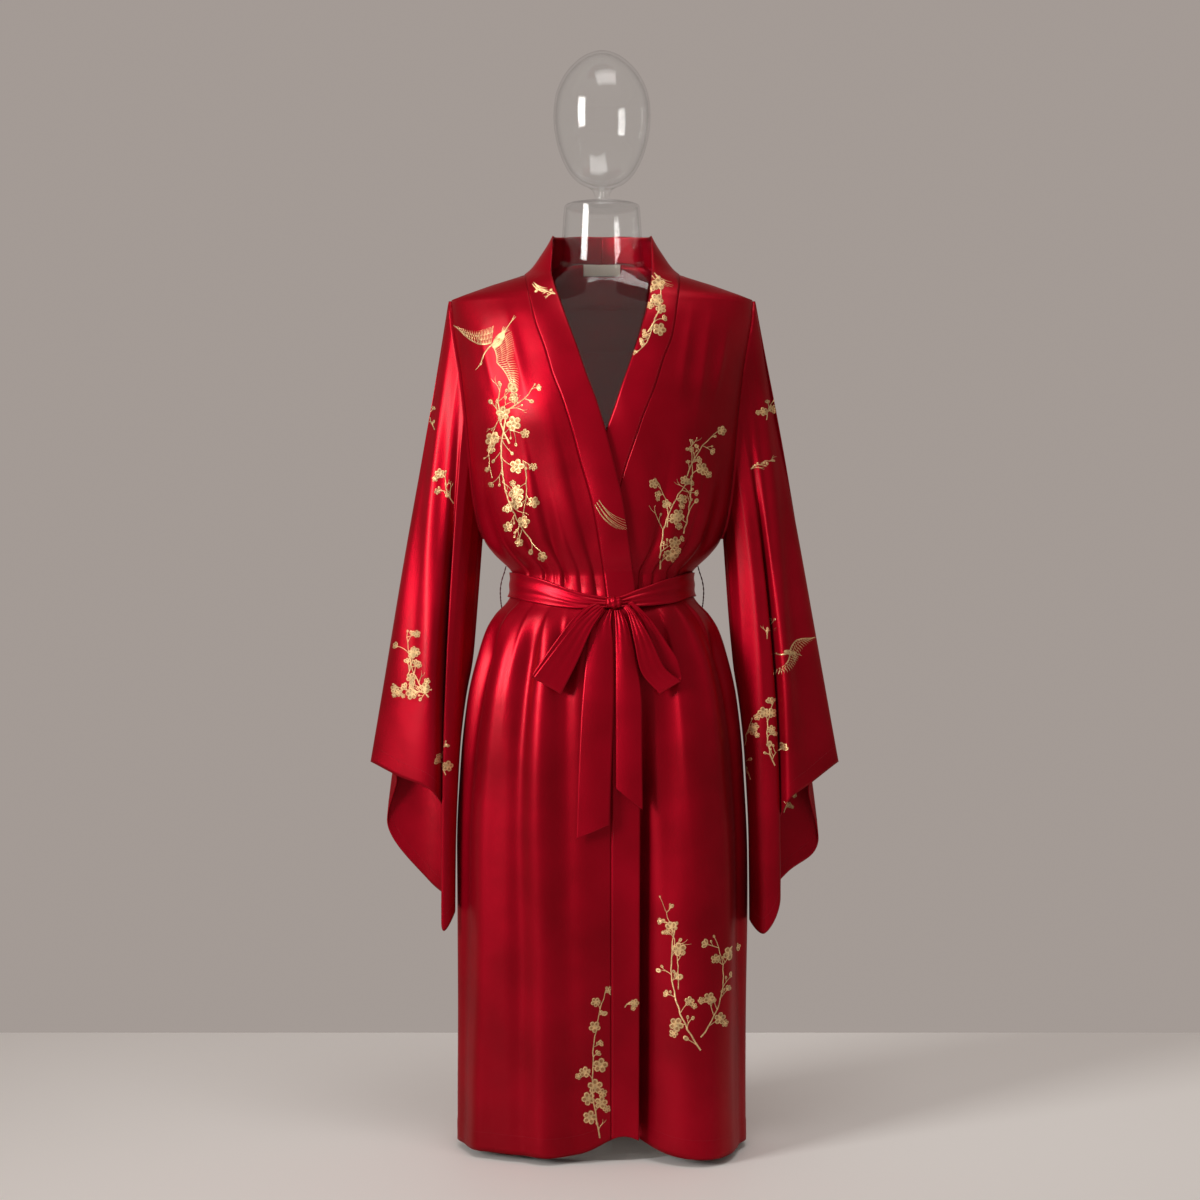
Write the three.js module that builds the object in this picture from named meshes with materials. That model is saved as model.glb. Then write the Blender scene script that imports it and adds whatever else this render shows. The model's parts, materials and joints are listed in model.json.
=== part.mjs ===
// A long satin kimono robe, tied with its own sash, worn by a clear limbless dress form.
// Units are millimetres. +Z is up, -Y is the front, +X is the wearer's left.
// The origin is on the floor, under the pole of the dress form.
import * as THREE from "three";

// ---------------------------------------------------------------- driving dimensions

const HEM_Z = 10; // the hem hangs just clear of the floor
const SHOULDER_Z = 1150; // outer shoulder point, where the sleeve's top fold starts
const UNDERARM_Z = 823; // bottom of the kimono armhole
const NECK_SIDE_Z = 1184; // neck seam at the side of the neck
const NECK_BACK_Z = 1209; // neck seam at the centre back
const COLLAR_SIDE_Z = 1237; // free edge of the standing neckband at the side
const COLLAR_BACK_Z = 1247; // free edge of the standing neckband at the back
const BELT_TOP_Z = 784; // the cloth is held flat between these two heights
const BELT_LOW_Z = 730;
const PARTING_Z = 748; // under the sash, where each body panel's wall is parted

const CLOTH = 1.6; // wall of the satin panels
const BAND_WALL = 2.4; // the neckband is folded double
const SASH_WALL = 2.0; // so is the sash
const LABEL_WALL = 1.0;
const THREAD = 1.0; // radius of the thread loops
const GLASS = 3; // wall of the dress form
const SEAM = 0.3; // space between two sewn pieces
const UNDER_FRONT = 5.5; // how far the left front lies inside the right one

const ARMHOLE_OPEN = 16; // degrees that each armhole edge lies away from the side line

// ---------------------------------------------------------------- small helpers

const RAD = Math.PI / 180;
const clamp = (x, low = 0, high = 1) => Math.min(high, Math.max(low, x));
const mix = (a, b, t) => a + (b - a) * t;
const steps = (count, low = 0, high = 1) =>
  Array.from({ length: count + 1 }, (_, i) => mix(low, high, i / count));
const point3 = (x, y, z) => new THREE.Vector3(x, y, z);

// 0 below low, 1 above high, smooth between.
function ramp(x, low, high) {
  const t = clamp((x - low) / (high - low));
  return t * t * (3 - 2 * t);
}

// A curve through a table's rows that never overshoots them (monotone cubic).
function curve(rows, key, value) {
  const x = rows.map((r) => r[key]);
  const y = rows.map((r) => r[value]);
  const slope = x.slice(1).map((next, i) => (y[i + 1] - y[i]) / (next - x[i]));
  const tangent = y.map((_, i) => {
    if (i === 0) return slope[0];
    if (i === y.length - 1) return slope[i - 1];
    const [a, b] = [slope[i - 1], slope[i]];
    return a * b <= 0 ? 0 : (2 * a * b) / (a + b);
  });
  return (at) => {
    let i = 0;
    while (i < x.length - 2 && at > x[i + 1]) i += 1;
    const h = x[i + 1] - x[i];
    const t = clamp((at - x[i]) / h);
    const [t2, t3] = [t * t, t * t * t];
    return (
      y[i] * (2 * t3 - 3 * t2 + 1) +
      tangent[i] * h * (t3 - 2 * t2 + t) +
      y[i + 1] * (3 * t2 - 2 * t3) +
      tangent[i + 1] * h * (t3 - t2)
    );
  };
}

// ---------------------------------------------------------------- the body of the robe

// Level sections of the worn robe, from the hem to the top of the neckband: half its width,
// and how far it reaches in front of and behind the pole.
const SECTIONS = [
  { z: 0, half: 194, front: 108, back: 126 },
  { z: 200, half: 195, front: 110, back: 127 },
  { z: 402, half: 196, front: 112, back: 126 },
  { z: 524, half: 191, front: 113, back: 122 },
  { z: 606, half: 182, front: 111, back: 116 },
  { z: 674, half: 166, front: 105, back: 107 },
  { z: 703, half: 156, front: 101, back: 99 },
  { z: 722, half: 144, front: 96, back: 93 },
  { z: 738, half: 129, front: 91, back: 88 },
  { z: 752, half: 122, front: 90, back: 86 },
  { z: 778, half: 121, front: 90, back: 86 },
  { z: 790, half: 131, front: 95, back: 90 },
  { z: 803, half: 145, front: 101, back: 94 },
  { z: 823, half: 160, front: 106, back: 98 },
  { z: 878, half: 176, front: 114, back: 104 },
  { z: 966, half: 187, front: 117, back: 106 },
  { z: 1014, half: 192, front: 114, back: 106 },
  { z: 1071, half: 198, front: 104, back: 101 },
  { z: 1120, half: 203, front: 90, back: 92 },
  { z: 1148, half: 204, front: 78, back: 83 },
  { z: 1156, half: 183, front: 75, back: 80 },
  { z: 1166, half: 155, front: 71, back: 78 },
  { z: 1184, half: 103, front: 65, back: 73 },
  { z: 1209, half: 82, front: 62, back: 70 },
  { z: 1237, half: 66, front: 59, back: 68 },
  { z: 1250, half: 62, front: 57, back: 67 },
];
const halfAt = curve(SECTIONS, "z", "half");
const frontAt = curve(SECTIONS, "z", "front");
const backAt = curve(SECTIONS, "z", "back");

// Folds that run up and down the cloth. waist and hem: where the fold's middle is, in degrees
// round the body from the front, at the belt and at the far end. wide: its spread in degrees.
// near and far: how deep it is beside the belt and at the far end, in mm, inwards below zero.
const SKIRT_FOLDS = [
  { name: "right side pleat", waist: -68, hem: -76, wide: 8, near: -13, far: -3 },
  { name: "right hip gather", waist: -49, hem: -58, wide: 6, near: 5, far: 4 },
  { name: "right first gather", waist: -35, hem: -33, wide: 5, near: -8, far: -3 },
  { name: "right ridge", waist: -26, hem: -22, wide: 6, near: 4, far: 5 },
  { name: "right second gather", waist: -17, hem: -12, wide: 5, near: -7, far: -4 },
  { name: "front valley", waist: 8, hem: 10, wide: 20, near: -3, far: -24 },
  { name: "left bulge", waist: 40, hem: 41, wide: 17, near: 3, far: 34 },
  { name: "left gather", waist: 29, hem: 24, wide: 5, near: -7, far: -2 },
  { name: "left hip gather", waist: 50, hem: 56, wide: 6, near: 6, far: 2 },
  { name: "left side pleat", waist: 68, hem: 75, wide: 8, near: -13, far: -4 },
  { name: "left back ridge", waist: 112, hem: 110, wide: 9, near: 4, far: 9 },
  { name: "left back fold", waist: 130, hem: 134, wide: 8, near: -9, far: -13 },
  { name: "left seat ridge", waist: 149, hem: 152, wide: 9, near: 4, far: 9 },
  { name: "centre back fold", waist: 171, hem: 172, wide: 9, near: -8, far: -12 },
  { name: "right seat ridge", waist: -167, hem: -168, wide: 9, near: 4, far: 9 },
  { name: "right back fold", waist: -143, hem: -146, wide: 8, near: -9, far: -12 },
  { name: "right back ridge", waist: -121, hem: -122, wide: 9, near: 4, far: 9 },
];
const BODICE_FOLDS = [
  { name: "right side tuck", waist: -66, hem: -62, wide: 8, near: -9, far: 0 },
  { name: "right outer gather", waist: -38, hem: -36, wide: 5, near: -6, far: 0 },
  { name: "right inner gather", waist: -25, hem: -28, wide: 5, near: -7, far: 0 },
  { name: "right chest gather", waist: -4, hem: -13, wide: 6, near: -5, far: 0 },
  { name: "left inner gather", waist: 27, hem: 26, wide: 5, near: -7, far: 0 },
  { name: "left outer gather", waist: 44, hem: 40, wide: 5, near: -6, far: 0 },
  { name: "left side tuck", waist: 66, hem: 62, wide: 8, near: -9, far: 0 },
  { name: "left back tuck", waist: 128, hem: 124, wide: 8, near: -8, far: 0 },
  { name: "left spine tuck", waist: 158, hem: 160, wide: 8, near: -6, far: 0 },
  { name: "right spine tuck", waist: -160, hem: -162, wide: 8, near: -6, far: 0 },
  { name: "right back tuck", waist: -130, hem: -126, wide: 8, near: -8, far: 0 },
];

// The smallest turn between two directions, in degrees.
const turn = (a, b) => ((((a - b + 180) % 360) + 360) % 360) - 180;

function foldDepth(folds, angle, away, grown) {
  let sum = 0;
  for (const f of folds) {
    const off = turn(angle, mix(f.waist, f.hem, away)) / f.wide;
    sum += mix(f.near, f.far, away) * Math.exp(-off * off);
  }
  return sum * grown;
}

// Folds start outside the sash and reach their depth within a hand's width of it.
function folds(angle, z) {
  if (z < BELT_LOW_Z) {
    const away = (BELT_LOW_Z - z) / (BELT_LOW_Z - HEM_Z);
    return foldDepth(SKIRT_FOLDS, angle, away, ramp(BELT_LOW_Z - z, 0, 70));
  }
  if (z > BELT_TOP_Z) {
    const away = ramp(z, BELT_TOP_Z, 1010);
    return foldDepth(BODICE_FOLDS, angle, away, ramp(z - BELT_TOP_Z, 0, 45));
  }
  return 0;
}

// The cloth is drawn up a little where the two fronts cross.
const hemLift = (angle, z) =>
  24 * Math.exp(-((turn(angle, 9) / 13) ** 2)) * ramp(-z, -260, -HEM_Z);

// A point of the robe's shell: angle in degrees round the body from the front, towards the
// wearer's left, at a height, moved out of the cloth by "out".
function shell(angle, z, out = 0) {
  const [s, c] = [Math.sin(angle * RAD), Math.cos(angle * RAD)];
  const half = halfAt(z);
  const deep = c > 0 ? frontAt(z) : backAt(z);
  const away = new THREE.Vector2(s / half, -c / deep).normalize();
  const push = folds(angle, z) + out;
  return new THREE.Vector3(
    half * s + away.x * push,
    -deep * c + away.y * push,
    z + hemLift(angle, z),
  );
}

// The angle at which the plain section at a height has a given x, on the front.
const angleOf = (x, z) => Math.asin(clamp(x / halfAt(z), -1, 1)) / RAD;

// ---------------------------------------------------------------- edges of the two fronts

// x of the neckband's seam and of its free edge at a height. The right front lies on top.
const RIGHT_FRONT_EDGES = [
  { z: 0, seam: 13, free: 51.5 },
  { z: 700, seam: 12, free: 51 },
  { z: 742, seam: 7, free: 46 },
  { z: 814, seam: -3, free: 36 },
  { z: 869, seam: -13, free: 28 },
  { z: 929, seam: -30, free: 14 },
  { z: 960, seam: -38, free: 6 },
  { z: 1007, seam: -52, free: -8.5 },
  { z: 1040, seam: -65, free: -21 },
  { z: 1073, seam: -75, free: -32 },
  { z: 1109, seam: -88, free: -45 },
  { z: 1147, seam: -97, free: -58 },
  { z: 1168, seam: -101, free: -65 },
  { z: 1184, seam: -103, free: -68 },
  { z: 1207, seam: -103, free: -67 },
  { z: 1236, seam: -103, free: -66 },
];
const LEFT_FRONT_EDGES = [
  { z: 0, seam: -8, free: -46 },
  { z: 700, seam: -8, free: -46 },
  { z: 742, seam: -4, free: -42 },
  { z: 814, seam: 8, free: -31 },
  { z: 869, seam: 18, free: -22 },
  { z: 915, seam: 31, free: -10 },
  { z: 957, seam: 45, free: 3 },
  { z: 982, seam: 53, free: 12 },
  { z: 1021, seam: 68, free: 25 },
  { z: 1058, seam: 80, free: 38 },
  { z: 1093, seam: 93, free: 49 },
  { z: 1139, seam: 100, free: 61 },
  { z: 1168, seam: 103, free: 65 },
  { z: 1184, seam: 103, free: 67 },
  { z: 1207, seam: 103, free: 67 },
  { z: 1236, seam: 103, free: 66 },
];
const topFreeEdge = curve(RIGHT_FRONT_EDGES, "z", "free");

// The left front passes under the right one, and comes out beside its edge in a deep groove.
function underFront(angle, z) {
  const past = halfAt(z) * Math.sin(angle * RAD) - topFreeEdge(z);
  const covered = 1 - ramp(past, 4, 42);
  const groove = ramp(BELT_LOW_Z - z, 0, 400) * 16 * Math.exp(-(((past - 3) / 16) ** 2));
  return -UNDER_FRONT * covered - groove;
}

// ---------------------------------------------------------------- walls of cloth

// A closed wall of even thickness on a surface point(u, v). When round is true the columns
// close into a tube. Faces are turned to point outwards at the end.
function wall(point, columns, rows, thick, round = false) {
  const [nu, nv] = [columns.length, rows.length];
  const eps = 1e-3;
  const outer = [];
  const inner = [];
  rows.forEach((v) =>
    columns.forEach((u) => {
      const here = point(u, v);
      const du = point(u + eps, v).sub(point(u - eps, v));
      const dv = point(u, v + eps).sub(point(u, v - eps));
      const normal = du.cross(dv).normalize().multiplyScalar(thick / 2);
      outer.push(here.clone().add(normal));
      inner.push(here.clone().sub(normal));
    }),
  );
  const at = (i, j) => j * nu + (i % nu);
  const inside = (i, j) => at(i, j) + outer.length;
  const faces = [];
  const quad = (a, b, c, d) => faces.push(a, b, c, a, c, d);
  const lastColumn = round ? nu : nu - 1;
  for (let j = 0; j < nv - 1; j += 1)
    for (let i = 0; i < lastColumn; i += 1) {
      quad(at(i, j), at(i + 1, j), at(i + 1, j + 1), at(i, j + 1));
      quad(inside(i, j + 1), inside(i + 1, j + 1), inside(i + 1, j), inside(i, j));
    }
  for (let i = 0; i < lastColumn; i += 1) {
    quad(inside(i, 0), inside(i + 1, 0), at(i + 1, 0), at(i, 0));
    quad(at(i, nv - 1), at(i + 1, nv - 1), inside(i + 1, nv - 1), inside(i, nv - 1));
  }
  if (!round)
    for (let j = 0; j < nv - 1; j += 1) {
      quad(at(0, j), at(0, j + 1), inside(0, j + 1), inside(0, j));
      quad(inside(nu - 1, j), inside(nu - 1, j + 1), at(nu - 1, j + 1), at(nu - 1, j));
    }
  return solid([...outer, ...inner], faces);
}

// A geometry from points and faces, turned inside out where its volume comes out below zero.
function solid(points, faces) {
  let volume = 0;
  for (let i = 0; i < faces.length; i += 3) {
    const [a, b, c] = faces.slice(i, i + 3).map((k) => points[k]);
    volume += a.dot(b.clone().cross(c));
  }
  const turned = volume < 0 ? faces.reverse() : faces;
  return new THREE.BufferGeometry().setFromPoints(points).setIndex(turned);
}

// ---------------------------------------------------------------- materials

const satin = new THREE.MeshStandardMaterial({ color: 0xa00a1c, roughness: 0.35 });
const clear = new THREE.MeshStandardMaterial({
  color: 0xdfe3e4,
  roughness: 0.05,
  transparent: true,
  opacity: 0.3,
});
const steel = new THREE.MeshStandardMaterial({ color: 0xb8bbbd, roughness: 0.3, metalness: 1 });
const thread = new THREE.MeshStandardMaterial({ color: 0x2a080c, roughness: 0.8 });
const tape = new THREE.MeshStandardMaterial({ color: 0xd9cfb8, roughness: 0.8 });

const robe = new THREE.Group();
function add(name, geometry, material) {
  const mesh = new THREE.Mesh(geometry, material);
  mesh.name = name;
  robe.add(mesh);
  return mesh;
}

// ---------------------------------------------------------------- body panels

const ARMHOLE_MIDDLE = (SHOULDER_Z + UNDERARM_Z) / 2;
const ARMHOLE_ROWS = steps(8, 180, 0).map(
  (a) => ARMHOLE_MIDDLE + (SHOULDER_Z - ARMHOLE_MIDDLE) * Math.cos(a * RAD),
);
const SKIRT_ROWS = [HEM_Z, 105, 210, 315, 415, 500, 575, 635, 680, 712, 738];
const BODICE_ROWS = [778, 791, 806, ...ARMHOLE_ROWS, 1159, 1169, 1179];
const BODY_ROWS = [...SKIRT_ROWS, PARTING_Z, ...BODICE_ROWS];
const NECK_COLUMNS = steps(12, 90, 180);

// How far the armhole's edge lies from the side line, in degrees, at a height. It is straight
// from one row of the panels to the next.
function armhole(z) {
  const open = (i) => ARMHOLE_OPEN * Math.sin((Math.PI * i) / 8) ** 1.3;
  let i = 0;
  while (i < 7 && z > ARMHOLE_ROWS[i + 1]) i += 1;
  const t = clamp((z - ARMHOLE_ROWS[i]) / (ARMHOLE_ROWS[i + 1] - ARMHOLE_ROWS[i]));
  return mix(i === 0 ? 0 : open(i), i === 7 ? 0 : open(i + 1), t);
}

// The turn round the body that spans a length of cloth at a height.
const turnOf = (length, z) => length / halfAt(z) / RAD;

// A front goes from its side seam (t = 0) to the neckband's seam (t = 1).
function frontPanel(side, edges, inset) {
  const seamX = curve(edges, "z", "seam");
  return (t, z) => {
    const from = side * (90 - armhole(z) - turnOf(SEAM / 2, z));
    const to = angleOf(seamX(z) + side * SEAM, z);
    const angle = mix(from, to, t);
    return shell(angle, z, inset(angle, z));
  };
}

const flat = () => 0;
const FRONT_COLUMNS = steps(18);

// Each body panel is one cut of cloth. Its wall is parted under the sash into a bodice and a
// skirt, so that each of the two is a simple shape round its own hollow.
function body(name, panel, columns, bodiceRows) {
  const bodice = [PARTING_Z + SEAM / 2, ...bodiceRows];
  const skirt = [...SKIRT_ROWS, PARTING_Z - SEAM / 2];
  add(name, wall(panel, columns, bodice, CLOTH), satin);
  add(`${name}_skirt`, wall(panel, columns, skirt, CLOTH), satin);
}
body("front_right", frontPanel(-1, RIGHT_FRONT_EDGES, flat), FRONT_COLUMNS, BODICE_ROWS);
body("front_left", frontPanel(1, LEFT_FRONT_EDGES, underFront), FRONT_COLUMNS, BODICE_ROWS);

// The back goes from the left side round to the right one, and up to the neck seam.
const neckSeam = (angle) => mix(NECK_SIDE_Z, NECK_BACK_Z, ramp(Math.abs(turn(angle, 0)), 90, 165));

function backPanel(t, z) {
  const opened = armhole(z) + turnOf(SEAM / 2, z);
  const angle = mix(90 + opened, 270 - opened, t);
  const rise = ramp(z, 1120, NECK_SIDE_Z);
  const height = z + rise * (neckSeam(angle) - NECK_SIDE_Z);
  return shell(angle, height);
}
body("back", backPanel, steps(30), [...BODICE_ROWS, NECK_SIDE_Z]);

// ---------------------------------------------------------------- neckband

// The band turns from the front edge to the neck: where its free edge lies for a seam height.
const BAND_TURN = [
  { seam: 0, free: 0 },
  { seam: 1040, free: 1041 },
  { seam: 1073, free: 1077 },
  { seam: 1109, free: 1120 },
  { seam: 1150, free: 1170 },
  { seam: 1169, free: 1203 },
  { seam: 1179, free: 1224 },
  { seam: 1184, free: 1234 },
];
const bandFree = curve(BAND_TURN, "seam", "free");

// Stations along the band are heights up to the side of the neck, and then degrees round it.
const bandStations = [
  ...BODY_ROWS.map((z) => ({ z, round: 0 })),
  ...NECK_COLUMNS.map((round) => ({ z: NECK_SIDE_Z, round })),
];

function neckband(side, edges, inset) {
  const seamX = curve(edges, "z", "seam");
  const freeX = curve(edges, "z", "free");
  const seamOf = (s) =>
    s.round
      ? [side * s.round, neckSeam(s.round) + SEAM]
      : [angleOf(seamX(s.z), s.z), s.z];
  const freeOf = (s) => {
    if (s.round) {
      const end = side * Math.min(s.round, 180 - turnOf(SEAM, COLLAR_BACK_Z));
      return [end, mix(COLLAR_SIDE_Z, COLLAR_BACK_Z, ramp(s.round, 90, 165))];
    }
    const z = bandFree(s.z);
    return [angleOf(freeX(z), z), z];
  };
  return (station, across) => {
    const low = Math.floor(clamp(station, 0, bandStations.length - 1.001));
    const t = station - low;
    const place = (s) => {
      const [seam, free] = [seamOf(s), freeOf(s)];
      return [mix(seam[0], free[0], across), mix(seam[1], free[1], across)];
    };
    const [a, b] = [place(bandStations[low]), place(bandStations[low + 1])];
    const angle = mix(a[0], b[0], t);
    return shell(angle, mix(a[1], b[1], t), inset(angle, mix(a[1], b[1], t)));
  };
}
const BAND_ACROSS = [0, 0.5, 1];
const BAND_ALONG = bandStations.map((_, i) => i);
add(
  "neckband_right",
  wall(neckband(-1, RIGHT_FRONT_EDGES, flat), BAND_ALONG, BAND_ACROSS, BAND_WALL),
  satin,
);
add(
  "neckband_left",
  wall(neckband(1, LEFT_FRONT_EDGES, underFront), BAND_ALONG, BAND_ACROSS, BAND_WALL),
  satin,
);

// ---------------------------------------------------------------- sleeves

// Each row is one line of a sleeve, from the armhole to its open end. ring: where it leaves the
// armhole, in degrees round it from the shoulder over the front. out, y, z: where it ends, out
// being the distance to the side of the pole. fall: 1 is straight, more hangs more steeply.
const SLEEVE_RIGHT = [
  { name: "top fold", ring: 0, out: 314, y: 0, z: 522, fall: 1 },
  { name: "front face", ring: 45, out: 274, y: -30, z: 505, fall: 1.2 },
  { name: "front fold", ring: 70, out: 226, y: -44, z: 484, fall: 2.2 },
  { name: "groove", ring: 86, out: 209, y: -8, z: 430, fall: 2.6 },
  { name: "inner pleat", ring: 104, out: 215, y: -33, z: 303, fall: 2.6 },
  { name: "inner corner", ring: 138, out: 198, y: -25, z: 320, fall: 1.6 },
  { name: "bottom seam", ring: 180, out: 201, y: 2, z: 332, fall: 1 },
  { name: "back face", ring: 228, out: 238, y: 32, z: 357, fall: 1.4 },
  { name: "back fold", ring: 286, out: 294, y: 38, z: 427, fall: 1.2 },
  { name: "back tuck", ring: 326, out: 281, y: 14, z: 500, fall: 1 },
];
const SLEEVE_LEFT = [
  { name: "top fold", ring: 0, out: 321, y: 0, z: 522, fall: 1 },
  { name: "front face", ring: 45, out: 280, y: -30, z: 495, fall: 1.2 },
  { name: "front fold", ring: 68, out: 249, y: -44, z: 472, fall: 1.8 },
  { name: "groove", ring: 82, out: 233, y: -8, z: 418, fall: 2.2 },
  { name: "inner pleat", ring: 96, out: 239, y: -34, z: 338, fall: 2.4 },
  { name: "lowest corner", ring: 118, out: 219, y: -38, z: 295, fall: 2.4 },
  { name: "inner corner", ring: 146, out: 200, y: -22, z: 308, fall: 1.6 },
  { name: "bottom seam", ring: 180, out: 203, y: 3, z: 318, fall: 1 },
  { name: "back face", ring: 230, out: 254, y: 32, z: 367, fall: 1.4 },
  { name: "back fold", ring: 286, out: 297, y: 38, z: 405, fall: 1.2 },
  { name: "back tuck", ring: 326, out: 283, y: 14, z: 487, fall: 1 },
];
const ARMHOLE_END = 2.5; // the sleeve's seam turns this far short of the ends of the armhole
const STAND = 4; // the seam stands away from the body before the cloth falls
const SLEEVE_CLEAR = 4; // from the skirt

// A smooth closed curve through a column of a table, as a function of the row number.
function loop(rows, key, whole = 0) {
  const n = rows.length;
  const get = (i) => rows[((i % n) + n) % n][key] + whole * Math.floor(i / n);
  return (at) => {
    const i = Math.floor(at);
    const t = at - i;
    const [a, b, c, d] = [get(i - 1), get(i), get(i + 1), get(i + 2)];
    const bend = (2 * a - 5 * b + 4 * c - d) * t * t + (3 * b - a - 3 * c + d) * t * t * t;
    return b + 0.5 * ((c - a) * t + bend);
  };
}

const larger = (a, b, soft) => (a + b + Math.hypot(a - b, soft)) / 2;

// A point on the sleeve's seam round the armhole, inside the edges of the body panels.
function armholeRing(side, ring) {
  const tall = SHOULDER_Z - ARMHOLE_MIDDLE - ARMHOLE_END;
  const z = ARMHOLE_MIDDLE + tall * Math.cos(ring * RAD);
  const inset = turnOf(SEAM + CLOTH / 2 + 0.4, z);
  const swing = clamp(Math.sin(ring * RAD) * 2.6, -1, 1);
  return shell(side * (90 - swing * Math.max(armhole(z) - inset, 0)), z);
}

function sleeve(side, rows) {
  const [ring, out, y, z, fall] = [
    loop(rows, "ring", 360),
    ...["out", "y", "z", "fall"].map((key) => loop(rows, key)),
  ];
  return (u, v) => {
    const from = armholeRing(side, ring(u));
    const t = Math.max(v, 0);
    const stand = STAND * Math.min(v + 1, 1);
    const fallen = 1 - clamp(1 - t) ** fall(u);
    const p = point3(0, mix(from.y, y(u), ramp(t, 0, 0.8)), mix(from.z, z(u), t));
    const reach = mix(Math.abs(from.x) + stand, out(u), fallen);
    const deep = p.y < 0 ? frontAt(p.z) : backAt(p.z);
    const skirt = halfAt(p.z) * Math.sqrt(clamp(1 - (p.y / deep) ** 2)) + SLEEVE_CLEAR;
    p.x = side * (v > 0 ? mix(reach, larger(reach, skirt, 5), ramp(v, 0.1, 0.4)) : reach);
    return p;
  };
}

const SLEEVE_ROWS = [-1, 0, 0.06, 0.14, 0.23, 0.33, 0.44, 0.55, 0.66, 0.77, 0.89, 1];
const around = (rows, each) => steps(rows.length * each, 0, rows.length).slice(0, -1);
add(
  "sleeve_right",
  wall(sleeve(-1, SLEEVE_RIGHT), around(SLEEVE_RIGHT, 3), SLEEVE_ROWS, CLOTH, true),
  satin,
);
add(
  "sleeve_left",
  wall(sleeve(1, SLEEVE_LEFT), around(SLEEVE_LEFT, 3), SLEEVE_ROWS, CLOTH, true),
  satin,
);

// ---------------------------------------------------------------- sash

// The sash round the waist: its upper and lower edge at degrees round the body. It is drawn
// together towards the knot.
const SASH_ROUND = [
  { angle: -180, top: 781, low: 747 },
  { angle: -75, top: 779, low: 746 },
  { angle: -45, top: 772, low: 739 },
  { angle: -28, top: 762, low: 734 },
  { angle: -12, top: 751, low: 731 },
  { angle: 6, top: 745, low: 732 },
  { angle: 24, top: 757, low: 734 },
  { angle: 45, top: 770, low: 738 },
  { angle: 75, top: 779, low: 747 },
  { angle: 180, top: 781, low: 747 },
];
const SASH_OUT = 3.6; // from the middle of the cloth below to the middle of the sash
const SASH_RIPPLE = 0.5; // creases along the sash

const sashTop = curve(SASH_ROUND, "angle", "top");
const sashLow = curve(SASH_ROUND, "angle", "low");
const sashPoint = (angle, t) =>
  shell(
    angle,
    mix(sashLow(angle), sashTop(angle), t),
    SASH_OUT + SASH_RIPPLE * Math.cos(4 * Math.PI * t),
  );
const SASH_COLUMNS = steps(48, -180, 180).slice(0, -1);
add("sash_wrap", wall(sashPoint, SASH_COLUMNS, steps(3), SASH_WALL, true), satin);

// A strip of the sash seen from the front: its two edges and how far it is from the pole.
const LOOP_RIGHT = [
  { name: "at the knot", x: -3, z: 735, x2: 3, z2: 731, y: -108 },
  { name: "below the knot", x: -15, z: 728, x2: -3, z2: 721, y: -111 },
  { name: "upper part", x: -34, z: 712, x2: -15, z2: 701, y: -116 },
  { name: "lower part", x: -60, z: 680, x2: -32, z2: 662, y: -120 },
  { name: "front of the turn", x: -87, z: 645, x2: -51, z2: 624, y: -119.5 },
  { name: "turn", x: -89, z: 642, x2: -53, z2: 621, y: -115 },
  { name: "back of the turn", x: -90, z: 647, x2: -54, z2: 626, y: -110.5 },
  { name: "lower part", x: -64, z: 684, x2: -36, z2: 667, y: -110.5 },
  { name: "upper part", x: -38, z: 718, x2: -19, z2: 706, y: -110 },
  { name: "below the knot", x: -20, z: 733, x2: -8, z2: 726, y: -107 },
  { name: "at the knot", x: -7, z: 738, x2: -2, z2: 734, y: -103 },
];
const LOOP_LEFT = [
  { name: "at the knot", x: 28.5, z: 732, x2: 33, z2: 736, y: -108 },
  { name: "below the knot", x: 35, z: 721, x2: 45, z2: 722, y: -112 },
  { name: "upper part", x: 42, z: 688, x2: 63, z2: 693, y: -117 },
  { name: "lower part", x: 51, z: 648, x2: 81, z2: 655, y: -117 },
  { name: "front of the turn", x: 72, z: 623, x2: 100, z2: 639, y: -113 },
  { name: "turn", x: 74, z: 619, x2: 103, z2: 637, y: -108.5 },
  { name: "back of the turn", x: 76, z: 624, x2: 104, z2: 644, y: -104.5 },
  { name: "lower part", x: 66, z: 653, x2: 99, z2: 664, y: -105.5 },
  { name: "upper part", x: 56, z: 695, x2: 86, z2: 684, y: -107 },
  { name: "below the knot", x: 45, z: 725, x2: 64, z2: 716, y: -106 },
  { name: "at the knot", x: 34, z: 738, x2: 39, z2: 740, y: -103 },
];
const TAIL_RIGHT = [
  { name: "at the knot", x: 3, z: 728.5, x2: 13, z2: 728.5, y: -102 },
  { name: "upper part", x: -12, z: 712, x2: 12, z2: 712, y: -104.5 },
  { name: "drawn together", x: -18, z: 690, x2: 14, z2: 690, y: -107 },
  { name: "spread", x: -21, z: 665, x2: 15, z2: 665, y: -109.5 },
  { name: "middle", x: -27, z: 602, x2: 15, z2: 602, y: -114 },
  { name: "lower part", x: -31, z: 519, x2: 12, z2: 519, y: -117 },
  { name: "slanted end", x: -34, z: 430, x2: 10, z2: 449, y: -117 },
];
const TAIL_LEFT = [
  { name: "at the knot", x: 16.5, z: 728.5, x2: 25, z2: 728.5, y: -102 },
  { name: "drawn together", x: 17.5, z: 707, x2: 35, z2: 707, y: -104.5 },
  { name: "upper part", x: 18, z: 665, x2: 44, z2: 665, y: -109 },
  { name: "middle", x: 18, z: 620, x2: 51, z2: 620, y: -112.5 },
  { name: "lower part", x: 18, z: 545, x2: 52, z2: 545, y: -113 },
  { name: "slanted end", x: 18, z: 496, x2: 53, z2: 468, y: -113 },
];

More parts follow.
